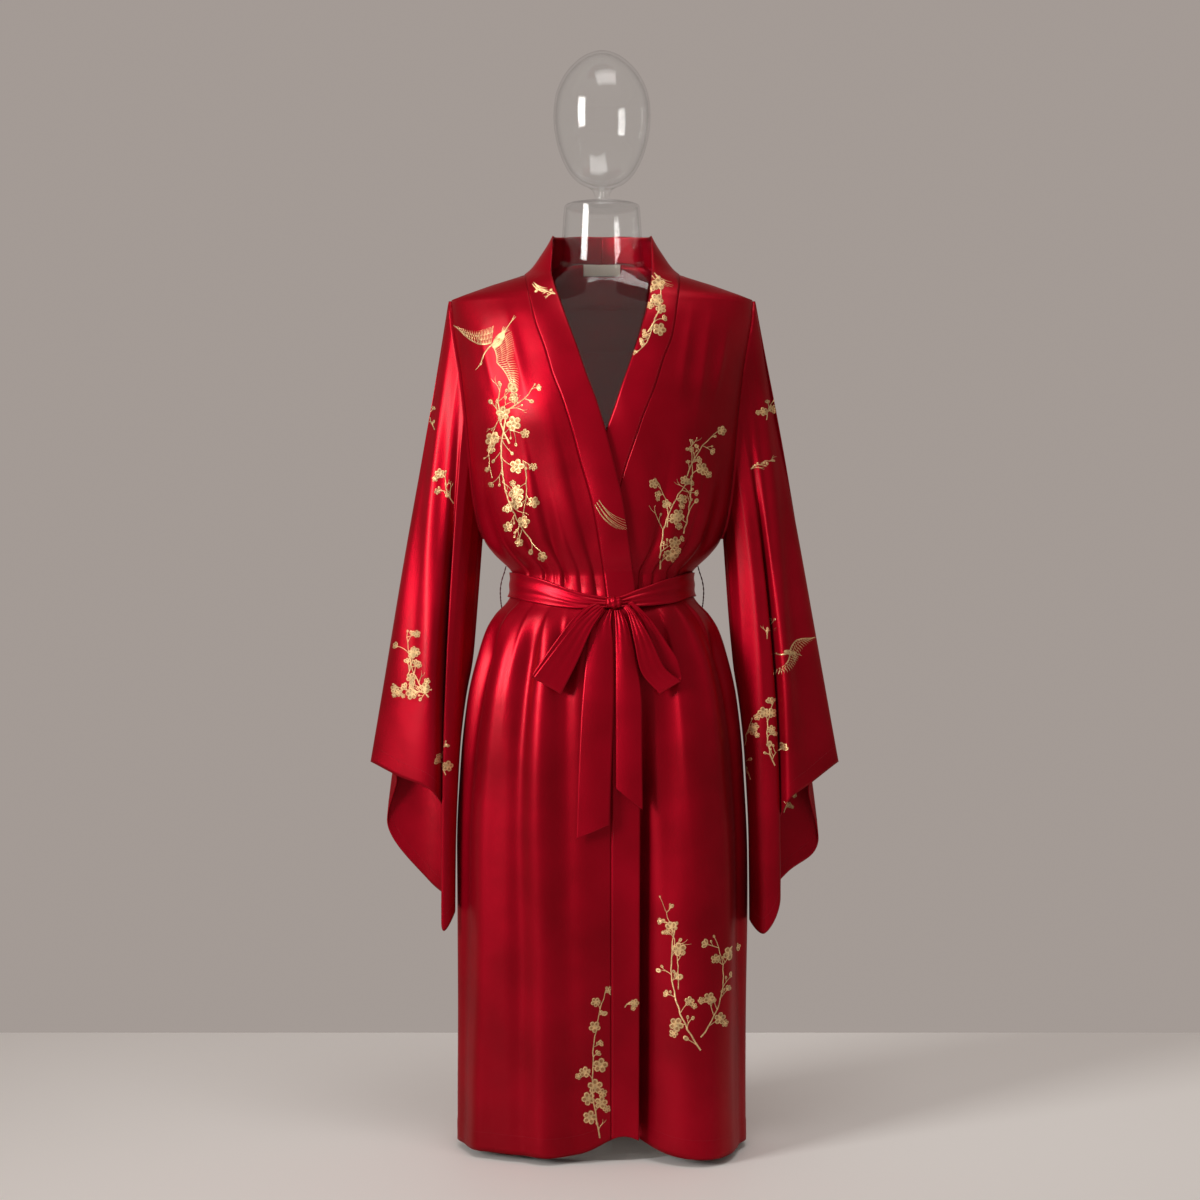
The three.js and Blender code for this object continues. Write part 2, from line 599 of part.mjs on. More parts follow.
// A strip through the rows of such a table, bowed forward across its width.
function strip(rows, bow) {
  const n = rows.length;
  const at = (key) => {
    const ends = [{ ...rows[0] }, ...rows, { ...rows[n - 1] }];
    const smooth = loop(ends, key);
    return (v) => smooth(1 + clamp(v, 0, n - 1.0001));
  };
  const [x, z, x2, z2, y] = ["x", "z", "x2", "z2", "y"].map(at);
  return (u, v) =>
    point3(
      mix(x(v), x2(v), u),
      y(v) - bow(v) * Math.sin(Math.PI * u),
      mix(z(v), z2(v), u),
    );
}
const along = (rows, each) => steps((rows.length - 1) * each, 0.001, rows.length - 1.001);
function addStrip(name, rows, bow) {
  add(name, wall(strip(rows, bow), steps(3), along(rows, 2), SASH_WALL), satin);
}
addStrip("sash_loop_right", LOOP_RIGHT, () => 0);
addStrip("sash_loop_left", LOOP_LEFT, () => 0);
addStrip("sash_tail_right", TAIL_RIGHT, (v) => 2.5 * ramp(v, 0, 3));
addStrip("sash_tail_left", TAIL_LEFT, (v) => 2.5 * ramp(v, 0, 3));

// ---------------------------------------------------------------- closed round solids

// A solid through closed rings of points, capped at both ends.
function loft(rings) {
  const n = rings[0].length;
  const points = rings.flat();
  const faces = [];
  rings.slice(1).forEach((_, j) => {
    for (let i = 0; i < n; i += 1) {
      const [a, b] = [j * n + i, j * n + ((i + 1) % n)];
      faces.push(a, b, b + n, a, b + n, a + n);
    }
  });
  const cap = (ring, start, flip) => {
    const middle = ring.reduce((sum, p) => sum.add(p), point3(0, 0, 0)).divideScalar(n);
    points.push(middle);
    for (let i = 0; i < n; i += 1) {
      const [a, b] = [start + i, start + ((i + 1) % n)];
      faces.push(points.length - 1, flip ? b : a, flip ? a : b);
    }
  };
  cap(rings[0], 0, true);
  cap(rings[rings.length - 1], (rings.length - 1) * n, false);
  return solid(points, faces);
}

// A level ring with its own reach to the sides, the front and the back.
const oval = (count, z, half, front = half, back = half) =>
  steps(count, 0, 360)
    .slice(0, -1)
    .map((angle) => {
      const [s, c] = [Math.sin(angle * RAD), Math.cos(angle * RAD)];
      return point3(half * s, -(c > 0 ? front : back) * c, z);
    });

// ---------------------------------------------------------------- knot

// The knot is a short roll across the front with the cloth gathered into ridges.
const KNOT = { x: 15.5, y: -104, z: 739, long: 11.5, deep: 7, tall: 7.8, ridges: 3, ridge: 0.09 };
const knotRings = steps(12, -0.985, 0.985).map((t) => {
  const round = (1 - t * t) ** 0.36 * (1 + KNOT.ridge * Math.cos(2 * Math.PI * KNOT.ridges * t * 0.5));
  return steps(12, 0, 360)
    .slice(0, -1)
    .map((angle) => {
      const [s, c] = [Math.sin(angle * RAD), Math.cos(angle * RAD)];
      return point3(
        KNOT.x + KNOT.long * t,
        KNOT.y + KNOT.deep * round * c,
        KNOT.z + KNOT.tall * round * s,
      );
    });
});
add("sash_knot", loft(knotRings), satin);

// ---------------------------------------------------------------- thread loops

// Half a thread loop's path at the side seam, over the sash: out from the pole, and height.
const THREAD_PATH = [
  { out: 130.6, z: 787.5 },
  { out: 132.6, z: 780 },
  { out: 136.4, z: 768 },
  { out: 138.2, z: 756 },
  { out: 137.6, z: 746 },
  { out: 136.4, z: 740 },
  { out: 135.8, z: 737.5 },
];
function threadLoop(side) {
  const rings = THREAD_PATH.map(({ out, z }, i) => {
    const [a, b] = [THREAD_PATH[Math.max(i - 1, 0)], THREAD_PATH[Math.min(i + 1, 6)]];
    const across = new THREE.Vector2(b.z - a.z, a.out - b.out).normalize();
    return steps(8, 0, 360)
      .slice(0, -1)
      .map((angle) => {
        const [s, c] = [Math.sin(angle * RAD) * THREAD, Math.cos(angle * RAD) * THREAD];
        return point3(side * (out + across.x * c), s, z + across.y * c);
      });
  });
  return loft(rings);
}
add("belt_loop_right", threadLoop(-1), thread);
add("belt_loop_left", threadLoop(1), thread);

// ---------------------------------------------------------------- label

const LABEL = { half: 26, low: 1192.5, top: 1208.3 };
const labelInside = CLOTH / 2 + SEAM + LABEL_WALL / 2;
const labelPoint = (t, z) =>
  shell(180 - Math.asin(mix(LABEL.half, -LABEL.half, t) / halfAt(z)) / RAD, z, -labelInside);
add("label", wall(labelPoint, steps(8), steps(2, LABEL.low, LABEL.top), LABEL_WALL), tape);

// ---------------------------------------------------------------- dress form

const BASE = { half: 120, front: 76, back: 84, thick: 8, edge: 2 };
const POLE = { radius: 14, flange: 45, flangeThick: 6 };
const TORSO_LOW_Z = 560;
const NECK_LOW_Z = 1199;
const NECK_TOP_Z = 1278;

// Outside of the form, from its flat underside to the ring that the neck stands on.
const FORM_SECTIONS = [
  { z: TORSO_LOW_Z, half: 160, front: 94, back: 98 },
  { z: 640, half: 152, front: 91, back: 94 },
  { z: 700, half: 130, front: 84, back: 82 },
  { z: 740, half: 110, front: 79, back: 74 },
  { z: 775, half: 107, front: 79, back: 74 },
  { z: 823, half: 128, front: 88, back: 82 },
  { z: 900, half: 148, front: 102, back: 91 },
  { z: 966, half: 157, front: 105, back: 94 },
  { z: 1030, half: 163, front: 97, back: 92 },
  { z: 1085, half: 168, front: 84, back: 86 },
  { z: 1125, half: 172, front: 73, back: 77 },
  { z: 1142, half: 170, front: 68, back: 72 },
  { z: 1154, half: 158, front: 65, back: 70 },
  { z: 1165, half: 130, front: 62, back: 67 },
  { z: 1176, half: 95, front: 58, back: 63 },
  { z: 1187, half: 68, front: 56, back: 61 },
  { z: NECK_LOW_Z, half: 58, front: 55, back: 60 },
];
const formHalf = curve(FORM_SECTIONS, "z", "half");
const formFront = curve(FORM_SECTIONS, "z", "front");
const formBack = curve(FORM_SECTIONS, "z", "back");
const formRing = (z, inside) =>
  oval(26, z, formHalf(z) - inside, formFront(z) - inside, formBack(z) - inside);
const formRows = [
  ...[TORSO_LOW_Z, 640, 700, 740, 775, 823, 890, 966, 1030],
  ...FORM_SECTIONS.slice(9).map((row) => row.z),
];
add(
  "form_torso",
  loft([
    ...formRows.map((z) => formRing(z, 0)),
    ...formRows.slice(1).reverse().map((z) => formRing(z, GLASS)),
    formRing(TORSO_LOW_Z + GLASS, GLASS).map((p) => p.setZ(TORSO_LOW_Z + GLASS)),
  ]),
  clear,
);

const NECK = [
  { z: NECK_LOW_Z + SEAM, half: 58, front: 55, back: 60 },
  { z: 1212, half: 56, front: 54, back: 59 },
  { z: 1240, half: 54, front: 53, back: 58 },
  { z: NECK_TOP_Z - 3, half: 51.5, front: 52, back: 57 },
  { z: NECK_TOP_Z, half: 51, front: 51.5, back: 56.5 },
];
const neckRing = (row, inside) =>
  oval(26, row.z, row.half - inside, row.front - inside, row.back - inside);
add(
  "form_neck",
  loft([
    neckRing({ ...NECK[3], z: NECK_TOP_Z - GLASS }, GLASS),
    ...NECK.slice(0, 3).reverse().map((row) => neckRing(row, GLASS)),
    ...NECK.map((row) => neckRing(row, 0)),
  ]),
  clear,
);

// The head is a hollow egg on a short hollow stem with a foot.
const HEAD = [
  { z: NECK_TOP_Z + SEAM, r: 17 },
  { z: 1281, r: 16.5 },
  { z: 1284, r: 10.5 },
  { z: 1293, r: 10.5 },
  { z: 1302, r: 17 },
  { z: 1309, r: 31 },
  { z: 1322, r: 44 },
  { z: 1345, r: 56 },
  { z: 1375, r: 64 },
  { z: 1404, r: 66 },
  { z: 1432, r: 62 },
  { z: 1457, r: 50 },
  { z: 1476, r: 32 },
  { z: 1486, r: 14 },
  { z: 1488.6, r: 3 },
];
const headInside = [
  { z: 1484.6, r: 3 },
  { z: 1482, r: 13 },
  { z: 1473, r: 29 },
  { z: 1455, r: 46.5 },
  { z: 1431, r: 58.8 },
  { z: 1404, r: 63 },
  { z: 1376, r: 61 },
  { z: 1347, r: 53 },
  { z: 1325, r: 41.5 },
  { z: 1313, r: 28.5 },
  { z: 1307, r: 15 },
  { z: 1302, r: 6 },
  { z: NECK_TOP_Z + SEAM, r: 6 },
];
add("form_head", loft([...headInside, ...HEAD].map(({ z, r }) => oval(16, z, r))), clear);

const poleTop = TORSO_LOW_Z - SEAM;
const flangeZ = poleTop - POLE.flangeThick;
add(
  "form_pole",
  loft([
    oval(24, BASE.thick + SEAM, POLE.radius),
    oval(24, flangeZ, POLE.radius),
    oval(24, flangeZ, POLE.flange),
    oval(24, poleTop, POLE.flange),
  ]),
  steel,
);
const baseRing = (z, inside) =>
  oval(36, z, BASE.half - inside, BASE.front - inside, BASE.back - inside);
add(
  "form_base",
  loft([baseRing(0, 0), baseRing(BASE.thick - BASE.edge, 0), baseRing(BASE.thick, BASE.edge)]),
  clear,
);

export default robe;
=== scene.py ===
# %% [markdown]
# # A satin kimono robe on a clear dress form
#
# This lesson dresses a plain solid model of a long robe. The solid model gives every panel its
# place; here each panel becomes fine cloth with creases, sewing and gold embroidery, and the
# dress form becomes clear glass. Lengths are written in millimetres, as a dressmaker would, and
# turned into metres when a mesh is made.

# %% Load the frame
import json
import math
import random
from types import SimpleNamespace as Named

import bmesh
import bpy
import numpy as np
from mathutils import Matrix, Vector
from mathutils.bvhtree import BVHTree

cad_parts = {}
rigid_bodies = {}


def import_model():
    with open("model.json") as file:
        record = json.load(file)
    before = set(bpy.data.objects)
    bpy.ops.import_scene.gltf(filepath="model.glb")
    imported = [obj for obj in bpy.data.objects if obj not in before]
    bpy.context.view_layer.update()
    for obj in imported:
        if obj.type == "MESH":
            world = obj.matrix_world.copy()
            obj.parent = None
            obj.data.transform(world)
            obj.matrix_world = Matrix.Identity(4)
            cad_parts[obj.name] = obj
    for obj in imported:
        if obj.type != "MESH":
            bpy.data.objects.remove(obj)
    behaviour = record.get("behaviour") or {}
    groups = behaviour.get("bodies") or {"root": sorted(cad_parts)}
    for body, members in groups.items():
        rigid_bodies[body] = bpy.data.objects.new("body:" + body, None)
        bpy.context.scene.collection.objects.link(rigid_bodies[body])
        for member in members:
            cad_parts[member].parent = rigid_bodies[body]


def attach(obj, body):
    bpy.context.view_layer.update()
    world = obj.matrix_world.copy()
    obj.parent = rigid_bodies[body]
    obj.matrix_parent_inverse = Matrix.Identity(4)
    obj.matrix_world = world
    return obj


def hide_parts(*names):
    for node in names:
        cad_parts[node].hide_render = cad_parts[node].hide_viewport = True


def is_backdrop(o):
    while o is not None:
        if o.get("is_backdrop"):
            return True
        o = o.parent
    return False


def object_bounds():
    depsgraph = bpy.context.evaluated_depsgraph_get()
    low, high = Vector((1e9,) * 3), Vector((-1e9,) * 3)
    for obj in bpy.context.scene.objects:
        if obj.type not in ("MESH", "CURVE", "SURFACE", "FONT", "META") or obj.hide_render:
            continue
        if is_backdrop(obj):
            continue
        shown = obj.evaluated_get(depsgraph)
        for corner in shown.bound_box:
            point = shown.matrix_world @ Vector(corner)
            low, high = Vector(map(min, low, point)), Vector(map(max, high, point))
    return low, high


for thing in list(bpy.data.objects):
    bpy.data.objects.remove(thing, do_unlink=True)
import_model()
cad_low, cad_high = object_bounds()
MM = 0.001
print("the frame is", [round(x, 3) for x in cad_high - cad_low], "metres")

# %% [markdown]
# ## The sizes of the robe
#
# The solid model was worked out from a few sizes: the heights of the hem, belt, armhole and neck,
# and a table of level sections. The same sizes are repeated here, because the cloth has to hang on
# exactly the same shape. A table keeps one row for each section or fold, so a size is easy to find
# and change.

# %% Tables and driving sizes
def table(columns, *rows):
    """Rows of values with the names of their columns, so that a width is read as row.wide."""
    names = columns.split()
    return [Named(**dict(zip(names, row, strict=True))) for row in rows]


HEM_Z = 10
SHOULDER_Z = 1150
UNDERARM_Z = 823
NECK_SIDE_Z = 1184
NECK_BACK_Z = 1209
COLLAR_SIDE_Z = 1237
COLLAR_BACK_Z = 1247
BELT_TOP_Z = 784
BELT_LOW_Z = 730
FRONT_TOP_Z = 1179

CLOTH = 1.6
BAND_WALL = 2.4
SASH_WALL = 2.0
SEAM = 0.3
UNDER_FRONT = 5.5
ARMHOLE_OPEN = 16

# height, half width, reach to the front and to the back of the pole
SECTION = "z half front back"
SECTIONS = table(
    SECTION,
    (0, 194, 108, 126), (200, 195, 110, 127), (402, 196, 112, 126), (524, 191, 113, 122),
    (606, 182, 111, 116), (674, 166, 105, 107), (703, 156, 101, 99), (722, 144, 96, 93),
    (738, 129, 91, 88), (752, 122, 90, 86), (778, 121, 90, 86), (790, 131, 95, 90), (803, 145, 101, 94),
    (823, 160, 106, 98), (878, 176, 114, 104), (966, 187, 117, 106), (1014, 192, 114, 106),
    (1071, 198, 104, 101), (1120, 203, 90, 92), (1148, 204, 78, 83), (1156, 183, 75, 80),
    (1166, 155, 71, 78), (1184, 103, 65, 73), (1209, 82, 62, 70), (1237, 66, 59, 68), (1250, 62, 57, 67),
)
# The middle of each fold in degrees round the body at the belt and at its far end, how wide it is,
# and how deep it is near the belt and far from it.
FOLD = "waist far_end wide near far"
SKIRT_FOLDS = table(
    FOLD,
    (-68, -76, 8, -13, -3), (-49, -58, 6, 5, 4), (-35, -33, 5, -8, -3), (-26, -22, 6, 4, 5),
    (-17, -12, 5, -7, -4), (8, 10, 20, -3, -24), (40, 41, 17, 3, 34), (29, 24, 5, -7, -2),
    (50, 56, 6, 6, 2), (68, 75, 8, -13, -4), (112, 110, 9, 4, 9), (130, 134, 8, -9, -13),
    (149, 152, 9, 4, 9), (171, 172, 9, -8, -12), (-167, -168, 9, 4, 9), (-143, -146, 8, -9, -12),
    (-121, -122, 9, 4, 9),
)
BODICE_FOLDS = table(
    FOLD,
    (-66, -62, 8, -9, 0), (-38, -36, 5, -6, 0), (-25, -28, 5, -7, 0), (-4, -13, 6, -5, 0),
    (27, 26, 5, -7, 0), (44, 40, 5, -6, 0), (66, 62, 8, -9, 0), (128, 124, 8, -8, 0),
    (158, 160, 8, -6, 0), (-160, -162, 8, -6, 0), (-130, -126, 8, -8, 0),
)
# the two edges of the sash round the body, which dips in front under its knot
SASH_ROUND = table(
    "angle top low",
    (-180, 781, 747), (-75, 779, 746), (-45, 772, 739), (-28, 762, 734), (-12, 751, 731), (6, 745, 732),
    (24, 757, 734), (45, 770, 738), (75, 779, 747), (180, 781, 747),
)
print(len(SECTIONS), "sections and", len(SKIRT_FOLDS) + len(BODICE_FOLDS), "large folds")

# %% [markdown]
# ## Curves through a table
#
# A section is only given at a few heights. A straight line from one to the next would leave a
# corner in the cloth, and an ordinary smooth curve can swing past the measured sizes. A monotone
# cubic does neither, so the widths between two rows always lie between the two measured ones.


# %% Curves and ramps
def mix(a, b, t):
    return a + (b - a) * t


def ramp(x, low, high):
    """0 below low and 1 above high, smooth between."""
    t = np.clip((np.asarray(x, float) - low) / (high - low), 0, 1)
    return t * t * (3 - 2 * t)


def curve(rows, key, value):
    """A smooth function through a table's rows that never overshoots them."""
    x = np.array([getattr(row, key) for row in rows], float)
    y = np.array([getattr(row, value) for row in rows], float)
    step = np.diff(x)
    slope = np.diff(y) / step
    tangent = np.concatenate([[slope[0]], np.zeros(len(x) - 2), [slope[-1]]])
    for i in range(1, len(x) - 1):
        if slope[i - 1] * slope[i] > 0:
            tangent[i] = 2 * slope[i - 1] * slope[i] / (slope[i - 1] + slope[i])

    def at(value_at):
        value_at = np.asarray(value_at, float)
        i = np.clip(np.searchsorted(x, value_at) - 1, 0, len(x) - 2)
        t = np.clip((value_at - x[i]) / step[i], 0, 1)
        t2, t3 = t * t, t * t * t
        return (
            y[i] * (2 * t3 - 3 * t2 + 1)
            + tangent[i] * step[i] * (t3 - 2 * t2 + t)
            + y[i + 1] * (3 * t2 - 2 * t3)
            + tangent[i + 1] * step[i] * (t3 - t2)
        )

    return at


def curves(rows, key, *values):
    return [curve(rows, key, value) for value in values]


half_at, front_at, back_at = curves(SECTIONS, "z", "half", "front", "back")
sash_top, sash_low = curves(SASH_ROUND, "angle", "top", "low")
WAIST_Z = 765
print("half the waist is", round(float(half_at(WAIST_Z))), "mm")

# %% [markdown]
# ## The shell of the worn robe
#
# Every body panel lies on one surface: an angle round the body and a height give a point on it.
# Large folds push that surface in and out, and so do many small creases that only the fine mesh
# can show. Sharp pleats start under the sash, one flank steep and the other soft, and die out on
# their way down or up. Folds could also come from a cloth simulation, but here they have to stay
# where the gathered belt puts them, so they are listed one by one.

# %% Sharp pleats
# side: "skirt" hangs below the belt, "bodice" rises above it. at: degrees round the body. drift:
# how far it turns on its way. sharp and soft: the width of its two flanks, in degrees.
PLEAT = "side at drift sharp soft deep reach"
PLEATS = table(
    PLEAT,
    ("skirt", -78, -8, 1.4, 6.0, 2.8, 330), ("skirt", -58, -9, 1.3, 6.0, 3.0, 240),
    ("skirt", -43, -2, 1.2, 5.0, 2.4, 330), ("skirt", -30, 2, 1.2, 5.5, 3.2, 560),
    ("skirt", -19, 4, 1.0, 4.0, 2.2, 300), ("skirt", -11, 1, 0.9, 3.0, 1.4, 200),
    ("skirt", 23, 1, 1.0, 3.5, 2.2, 300), ("skirt", 33, 4, 1.0, 4.5, 3.2, 520),
    ("skirt", 46, 6, 1.1, 5.0, 2.2, 260), ("skirt", 60, 9, 1.2, 5.5, 3.2, 280),
    ("skirt", 79, 8, 1.4, 6.0, 2.8, 330), ("bodice", -55, -4, 1.0, 4.0, -3.0, 130),
    ("bodice", -39, -7, 0.9, 4.0, -5.0, 230), ("bodice", -31, -4, 0.7, 2.2, -1.8, 110),
    ("bodice", -25, -10, 0.9, 3.6, -6.0, 280), ("bodice", -13, -13, 0.7, 2.6, -3.2, 200),
    ("bodice", -4, -16, 0.8, 3.2, -5.0, 250), ("bodice", 25, 6, 0.9, 3.2, -4.5, 220),
    ("bodice", 34, 9, 0.7, 2.6, -3.0, 180), ("bodice", 46, 6, 0.9, 3.6, -4.5, 230),
    ("bodice", 58, 4, 1.0, 4.0, -3.0, 130),
)
# behind, a pair of them every 20 degrees, of three lengths
for number in range(9):
    kind = number % 3
    PLEATS += table(
        PLEAT,
        ("skirt", 100 + number * 20, 3 - 3 * kind, 0.9, 4.0, 3.5, 260 + 90 * kind),
        ("bodice", 108 + number * 20, 3 * kind - 3, 0.9, 4.0, -3.0, 150 + 40 * kind),
    )
# how far a pleat's line sways in degrees, and over what length; the length over which a pleat
# grows to its full depth, and how far under the sash a hollow starts
SWAY = 0.5
SWAY_LENGTH = 61
PLEAT_GROWS = 17
PLEAT_UNDER = 9


# %% Folds from the belt
def turn(a, b):
    """The smallest turn from b to a, in degrees."""
    return (a - b + 180) % 360 - 180


def large_folds(rows, angle, away):
    total = 0
    for row in rows:
        off = turn(angle, mix(row.waist, row.far_end, away)) / row.wide
        total = total + mix(row.near, row.far, away) * np.exp(-off * off)
    return total


def pleats(angle, z):
    """Sharp pleats from the edges of the sash, their line swaying a little on the way. Hollows
    start under the sash; ridges start at its edge, so that none comes through it."""
    total = 0
    turned = turn(angle, 0)
    below, above = sash_low(turned) - z, z - sash_top(turned)
    for row in PLEATS:
        gone = below if row.side == "skirt" else above
        share = np.clip(gone / row.reach, 0, 1)
        sway = SWAY * np.sin(gone / SWAY_LENGTH + row.at)
        off = turn(angle, row.at + row.drift * share + sway)
        flank = np.where(off > 0, row.soft, row.sharp) * (1 + 1.6 * share)
        start = 0 if row.deep > 0 else -PLEAT_UNDER
        grown = ramp(gone, start, start + PLEAT_GROWS) * (1 - share) ** 1.2
        total = total + row.deep * grown * np.exp(-np.abs(off / flank) ** 1.6)
    return total


# %% Folds from the shoulders
# soft folds that hang from the shoulders and run out above the chest: their angles and heights
SHOULDER_FOLDS = table(
    "top_at low_at top low deep wide",
    (-40, -29, 1150, 985, 2.6, 3.0), (-54, -46, 1115, 1000, 1.8, 2.8), (36, 31, 1140, 990, 2.4, 2.6),
    (45, 40, 1135, 965, 2.8, 3.0), (56, 50, 1115, 1000, 2.0, 2.6), (138, 146, 1130, 960, 2.2, 3.0),
    (-142, -148, 1120, 975, 2.4, 3.0),
)
CHEST = Named(at=27, wide=17, height=1000, tall=48, full=5.5)


def shoulder_folds(angle, z):
    """The folds, and a slight fullness at both sides of the chest."""
    total = 0
    for row in SHOULDER_FOLDS:
        share = np.clip((row.top - z) / (row.top - row.low), 0, 1)
        off = turn(angle, mix(row.top_at, row.low_at, share)) / row.wide
        total = total + row.deep * np.sin(math.pi * share) ** 1.5 * np.exp(-np.abs(off) ** 1.7)
    for side in (-1, 1):
        off = turn(angle, side * CHEST.at) / CHEST.wide
        away = (z - CHEST.height) / CHEST.tall
        total = total + CHEST.full * np.exp(-off * off - away * away)
    return total


# %% All folds together
SWELL = 1.1


def softness(angle, z):
    """Slow swells all over, so that the satin never lies quite flat."""
    a = np.radians(angle)
    swell = np.sin(7 * a + z / 97) * np.sin(z / 143 + 3 * a) + 0.6 * np.sin(11 * a - z / 71 + 1.3)
    held = ramp(np.abs(z - (BELT_TOP_Z + BELT_LOW_Z) / 2), 40, 130) * (1 - ramp(z, 1100, 1150))
    return SWELL * swell * held


# the lengths over which the large folds grow from the belt, and where those of the bodice end
SKIRT_GROWS = 70
BODICE_GROWS = 45
BODICE_FOLDS_END = 1010


def folds(angle, z):
    down = (BELT_LOW_Z - z) / (BELT_LOW_Z - HEM_Z)
    up = ramp(z, BELT_TOP_Z, BODICE_FOLDS_END)
    skirt = large_folds(SKIRT_FOLDS, angle, down) * ramp(BELT_LOW_Z - z, 0, SKIRT_GROWS)
    bodice = large_folds(BODICE_FOLDS, angle, up) * ramp(z - BELT_TOP_Z, 0, BODICE_GROWS)
    large = np.where(z < BELT_LOW_Z, skirt, np.where(z > BELT_TOP_Z, bodice, 0))
    return large + pleats(angle, z) + shoulder_folds(angle, z) + softness(angle, z)


# %% The shell
# the hem is drawn up where the fronts cross: at what angle, how wide, how high and from where down
DRAWN_UP = Named(at=9, wide=13, high=24, start=260)


def shell(angle, z, out=0):
    """Points of the robe in millimetres: degrees round from the front to the wearer's left, a
    height, and how far out of the cloth."""
    angle, z, out = np.broadcast_arrays(np.asarray(angle, float), np.asarray(z, float), out)
    s, c = np.sin(np.radians(angle)), np.cos(np.radians(angle))
    half = half_at(z)
    deep = np.where(c > 0, front_at(z), back_at(z))
    away_x, away_y = s / half, -c / deep
    size = np.hypot(away_x, away_y)
    push = folds(angle, z) + out
    off = turn(angle, DRAWN_UP.at) / DRAWN_UP.wide
    lift = DRAWN_UP.high * np.exp(-(off**2)) * ramp(-z, -DRAWN_UP.start, -HEM_Z)
    return np.stack(
        [half * s + away_x / size * push, -deep * c + away_y / size * push, z + lift], axis=-1
    )


def angle_of(x, z):
    return np.degrees(np.arcsin(np.clip(x / half_at(z), -1, 1)))


def turn_of(length, z):
    return np.degrees(length / half_at(z))


print(len(PLEATS), "sharp pleats beside the belt")

# %% [markdown]
# ## From a surface to a piece of cloth
#
# A cut panel is a rectangle with a shape: it has two directions, across and along. A flat grid has
# the same two directions, so each panel starts as Blender's own grid, and every point of it is
# moved to its place on the robe. The Solidify modifier then gives the cloth its wall, half to each
# side, so that the panel keeps the same middle as its solid. A UV map in metres goes along, which
# lets the weave follow the cloth wherever it hangs.


# %% Make a piece from a surface
def new_object(name, data):
    made = bpy.data.objects.new(name, data)
    bpy.context.scene.collection.objects.link(made)
    return made


def finish_mesh(bm, name, material):
    mesh = bpy.data.meshes.new(name)
    bm.to_mesh(mesh)
    bm.free()
    mesh.materials.append(material)
    for face in mesh.polygons:
        face.use_smooth = True
    print(name, "has", len(mesh.polygons), "faces")
    return new_object(name, mesh)


def stand_for(piece, nodes):
    """Hang a piece on the root body, and hide the solids it takes the place of."""
    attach(piece, "root")
    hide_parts(*nodes.split())


def grid_mesh(surface, across, along, round_piece=False, flip=False):
    """A grid whose points lie on surface(u, v), both from 0 to 1, with its UV map in metres."""
    bm = bmesh.new()
    bmesh.ops.create_grid(bm, x_segments=across, y_segments=along, size=0.5)
    bm.verts.ensure_lookup_table()
    flat = np.array([v.co for v in bm.verts], float)
    u, v = flat[:, 0] + 0.5, flat[:, 1] + 0.5
    u, v = np.clip(u, 0, 1), np.clip(v, 0, 1)
    places = surface(u, v) * MM
    run, middle = np.linspace(0, 1, 60), np.full(60, 0.5)
    wide = np.linalg.norm(np.diff(surface(run, middle) * MM, axis=0), axis=1).sum()
    long = np.linalg.norm(np.diff(surface(middle, run) * MM, axis=0), axis=1).sum()
    layer = bm.loops.layers.uv.new("cloth")
    for vert, place in zip(bm.verts, places):
        vert.co = place
    for face in bm.faces:
        for loop in face.loops:
            i = loop.vert.index
            loop[layer].uv = (u[i] * wide, v[i] * long)
    if round_piece:
        bmesh.ops.remove_doubles(bm, verts=bm.verts, dist=0.00002)
    if flip:
        bmesh.ops.reverse_faces(bm, faces=bm.faces)
    return bm


SHEETS = []


def cloth(name, nodes, surface, grid, wall, material, cut, slot_name="satin", **kind):
    """One cut piece of cloth: its mesh, its wall, and a note of how it was cut."""
    piece = finish_mesh(grid_mesh(surface, *grid, **kind), name, material)
    thick = piece.modifiers.new("wall", "SOLIDIFY")
    thick.thickness = wall * MM
    thick.offset = 0
    stand_for(piece, nodes)
    SHEETS.append(Named(piece=piece, surface=surface, cut=cut, on_it=[]))
    print("and", round(sum(face.area for face in piece.data.polygons), 3), "m2 of cloth")


# %% [markdown]
# ## Red satin
#
# Satin is woven so that long threads float on its face. That gives it a smooth, bright sheen that
# runs along the folds, with a soft edge, and a colour that turns nearly black in the hollows. A
# principled shader can do this with a deep red, a middle roughness and a part of the light
# reflected in the cloth's own colour. Two sizes of noise keep it from looking like plastic: a slow
# one varies the red and the gloss, and a fine one roughens the surface like threads.


# %% Short ways to add nodes
def new_material(name):
    material = bpy.data.materials.new(name)
    material.use_nodes = True
    nodes = material.node_tree.nodes
    return material, nodes, nodes["Principled BSDF"]


def put(node, **values):
    """Set a node's sockets. An underscore stands for the space in a socket's name."""
    for name, value in values.items():
        node.inputs[name.replace("_", " ")].default_value = value


def lead(output, node, socket):
    node.id_data.links.new(output, node.inputs[socket])


def add_node(nodes, kind, output=None, socket=None, **values):
    """Add a node, set its sockets, and lead the output of another into it."""
    made = nodes.new("ShaderNode" + kind)
    put(made, **values)
    if output:
        lead(output, made, socket)
    return made


def noise(nodes, place, scale, detail=3):
    made = add_node(nodes, "TexNoise", place, "Vector", Scale=scale, Detail=detail, Roughness=0.55)
    return made.outputs["Fac"]


def colour_by(nodes, shader, pattern, dark, light, low=0.35, high=0.65):
    """Let a pattern turn the colour from dark to light."""
    made = add_node(nodes, "ValToRGB", pattern, "Fac")
    for end, colour, position in zip(made.color_ramp.elements, (dark, light), (low, high)):
        end.color = (*colour, 1)
        end.position = position
    lead(made.outputs["Color"], shader, "Base Color")


def vary(nodes, shader, socket, pattern, low, high):
    """Let a pattern lead one of the shader's numbers from low to high."""
    made = add_node(nodes, "MapRange", pattern, "Value", To_Min=low, To_Max=high)
    lead(made.outputs["Result"], shader, socket)


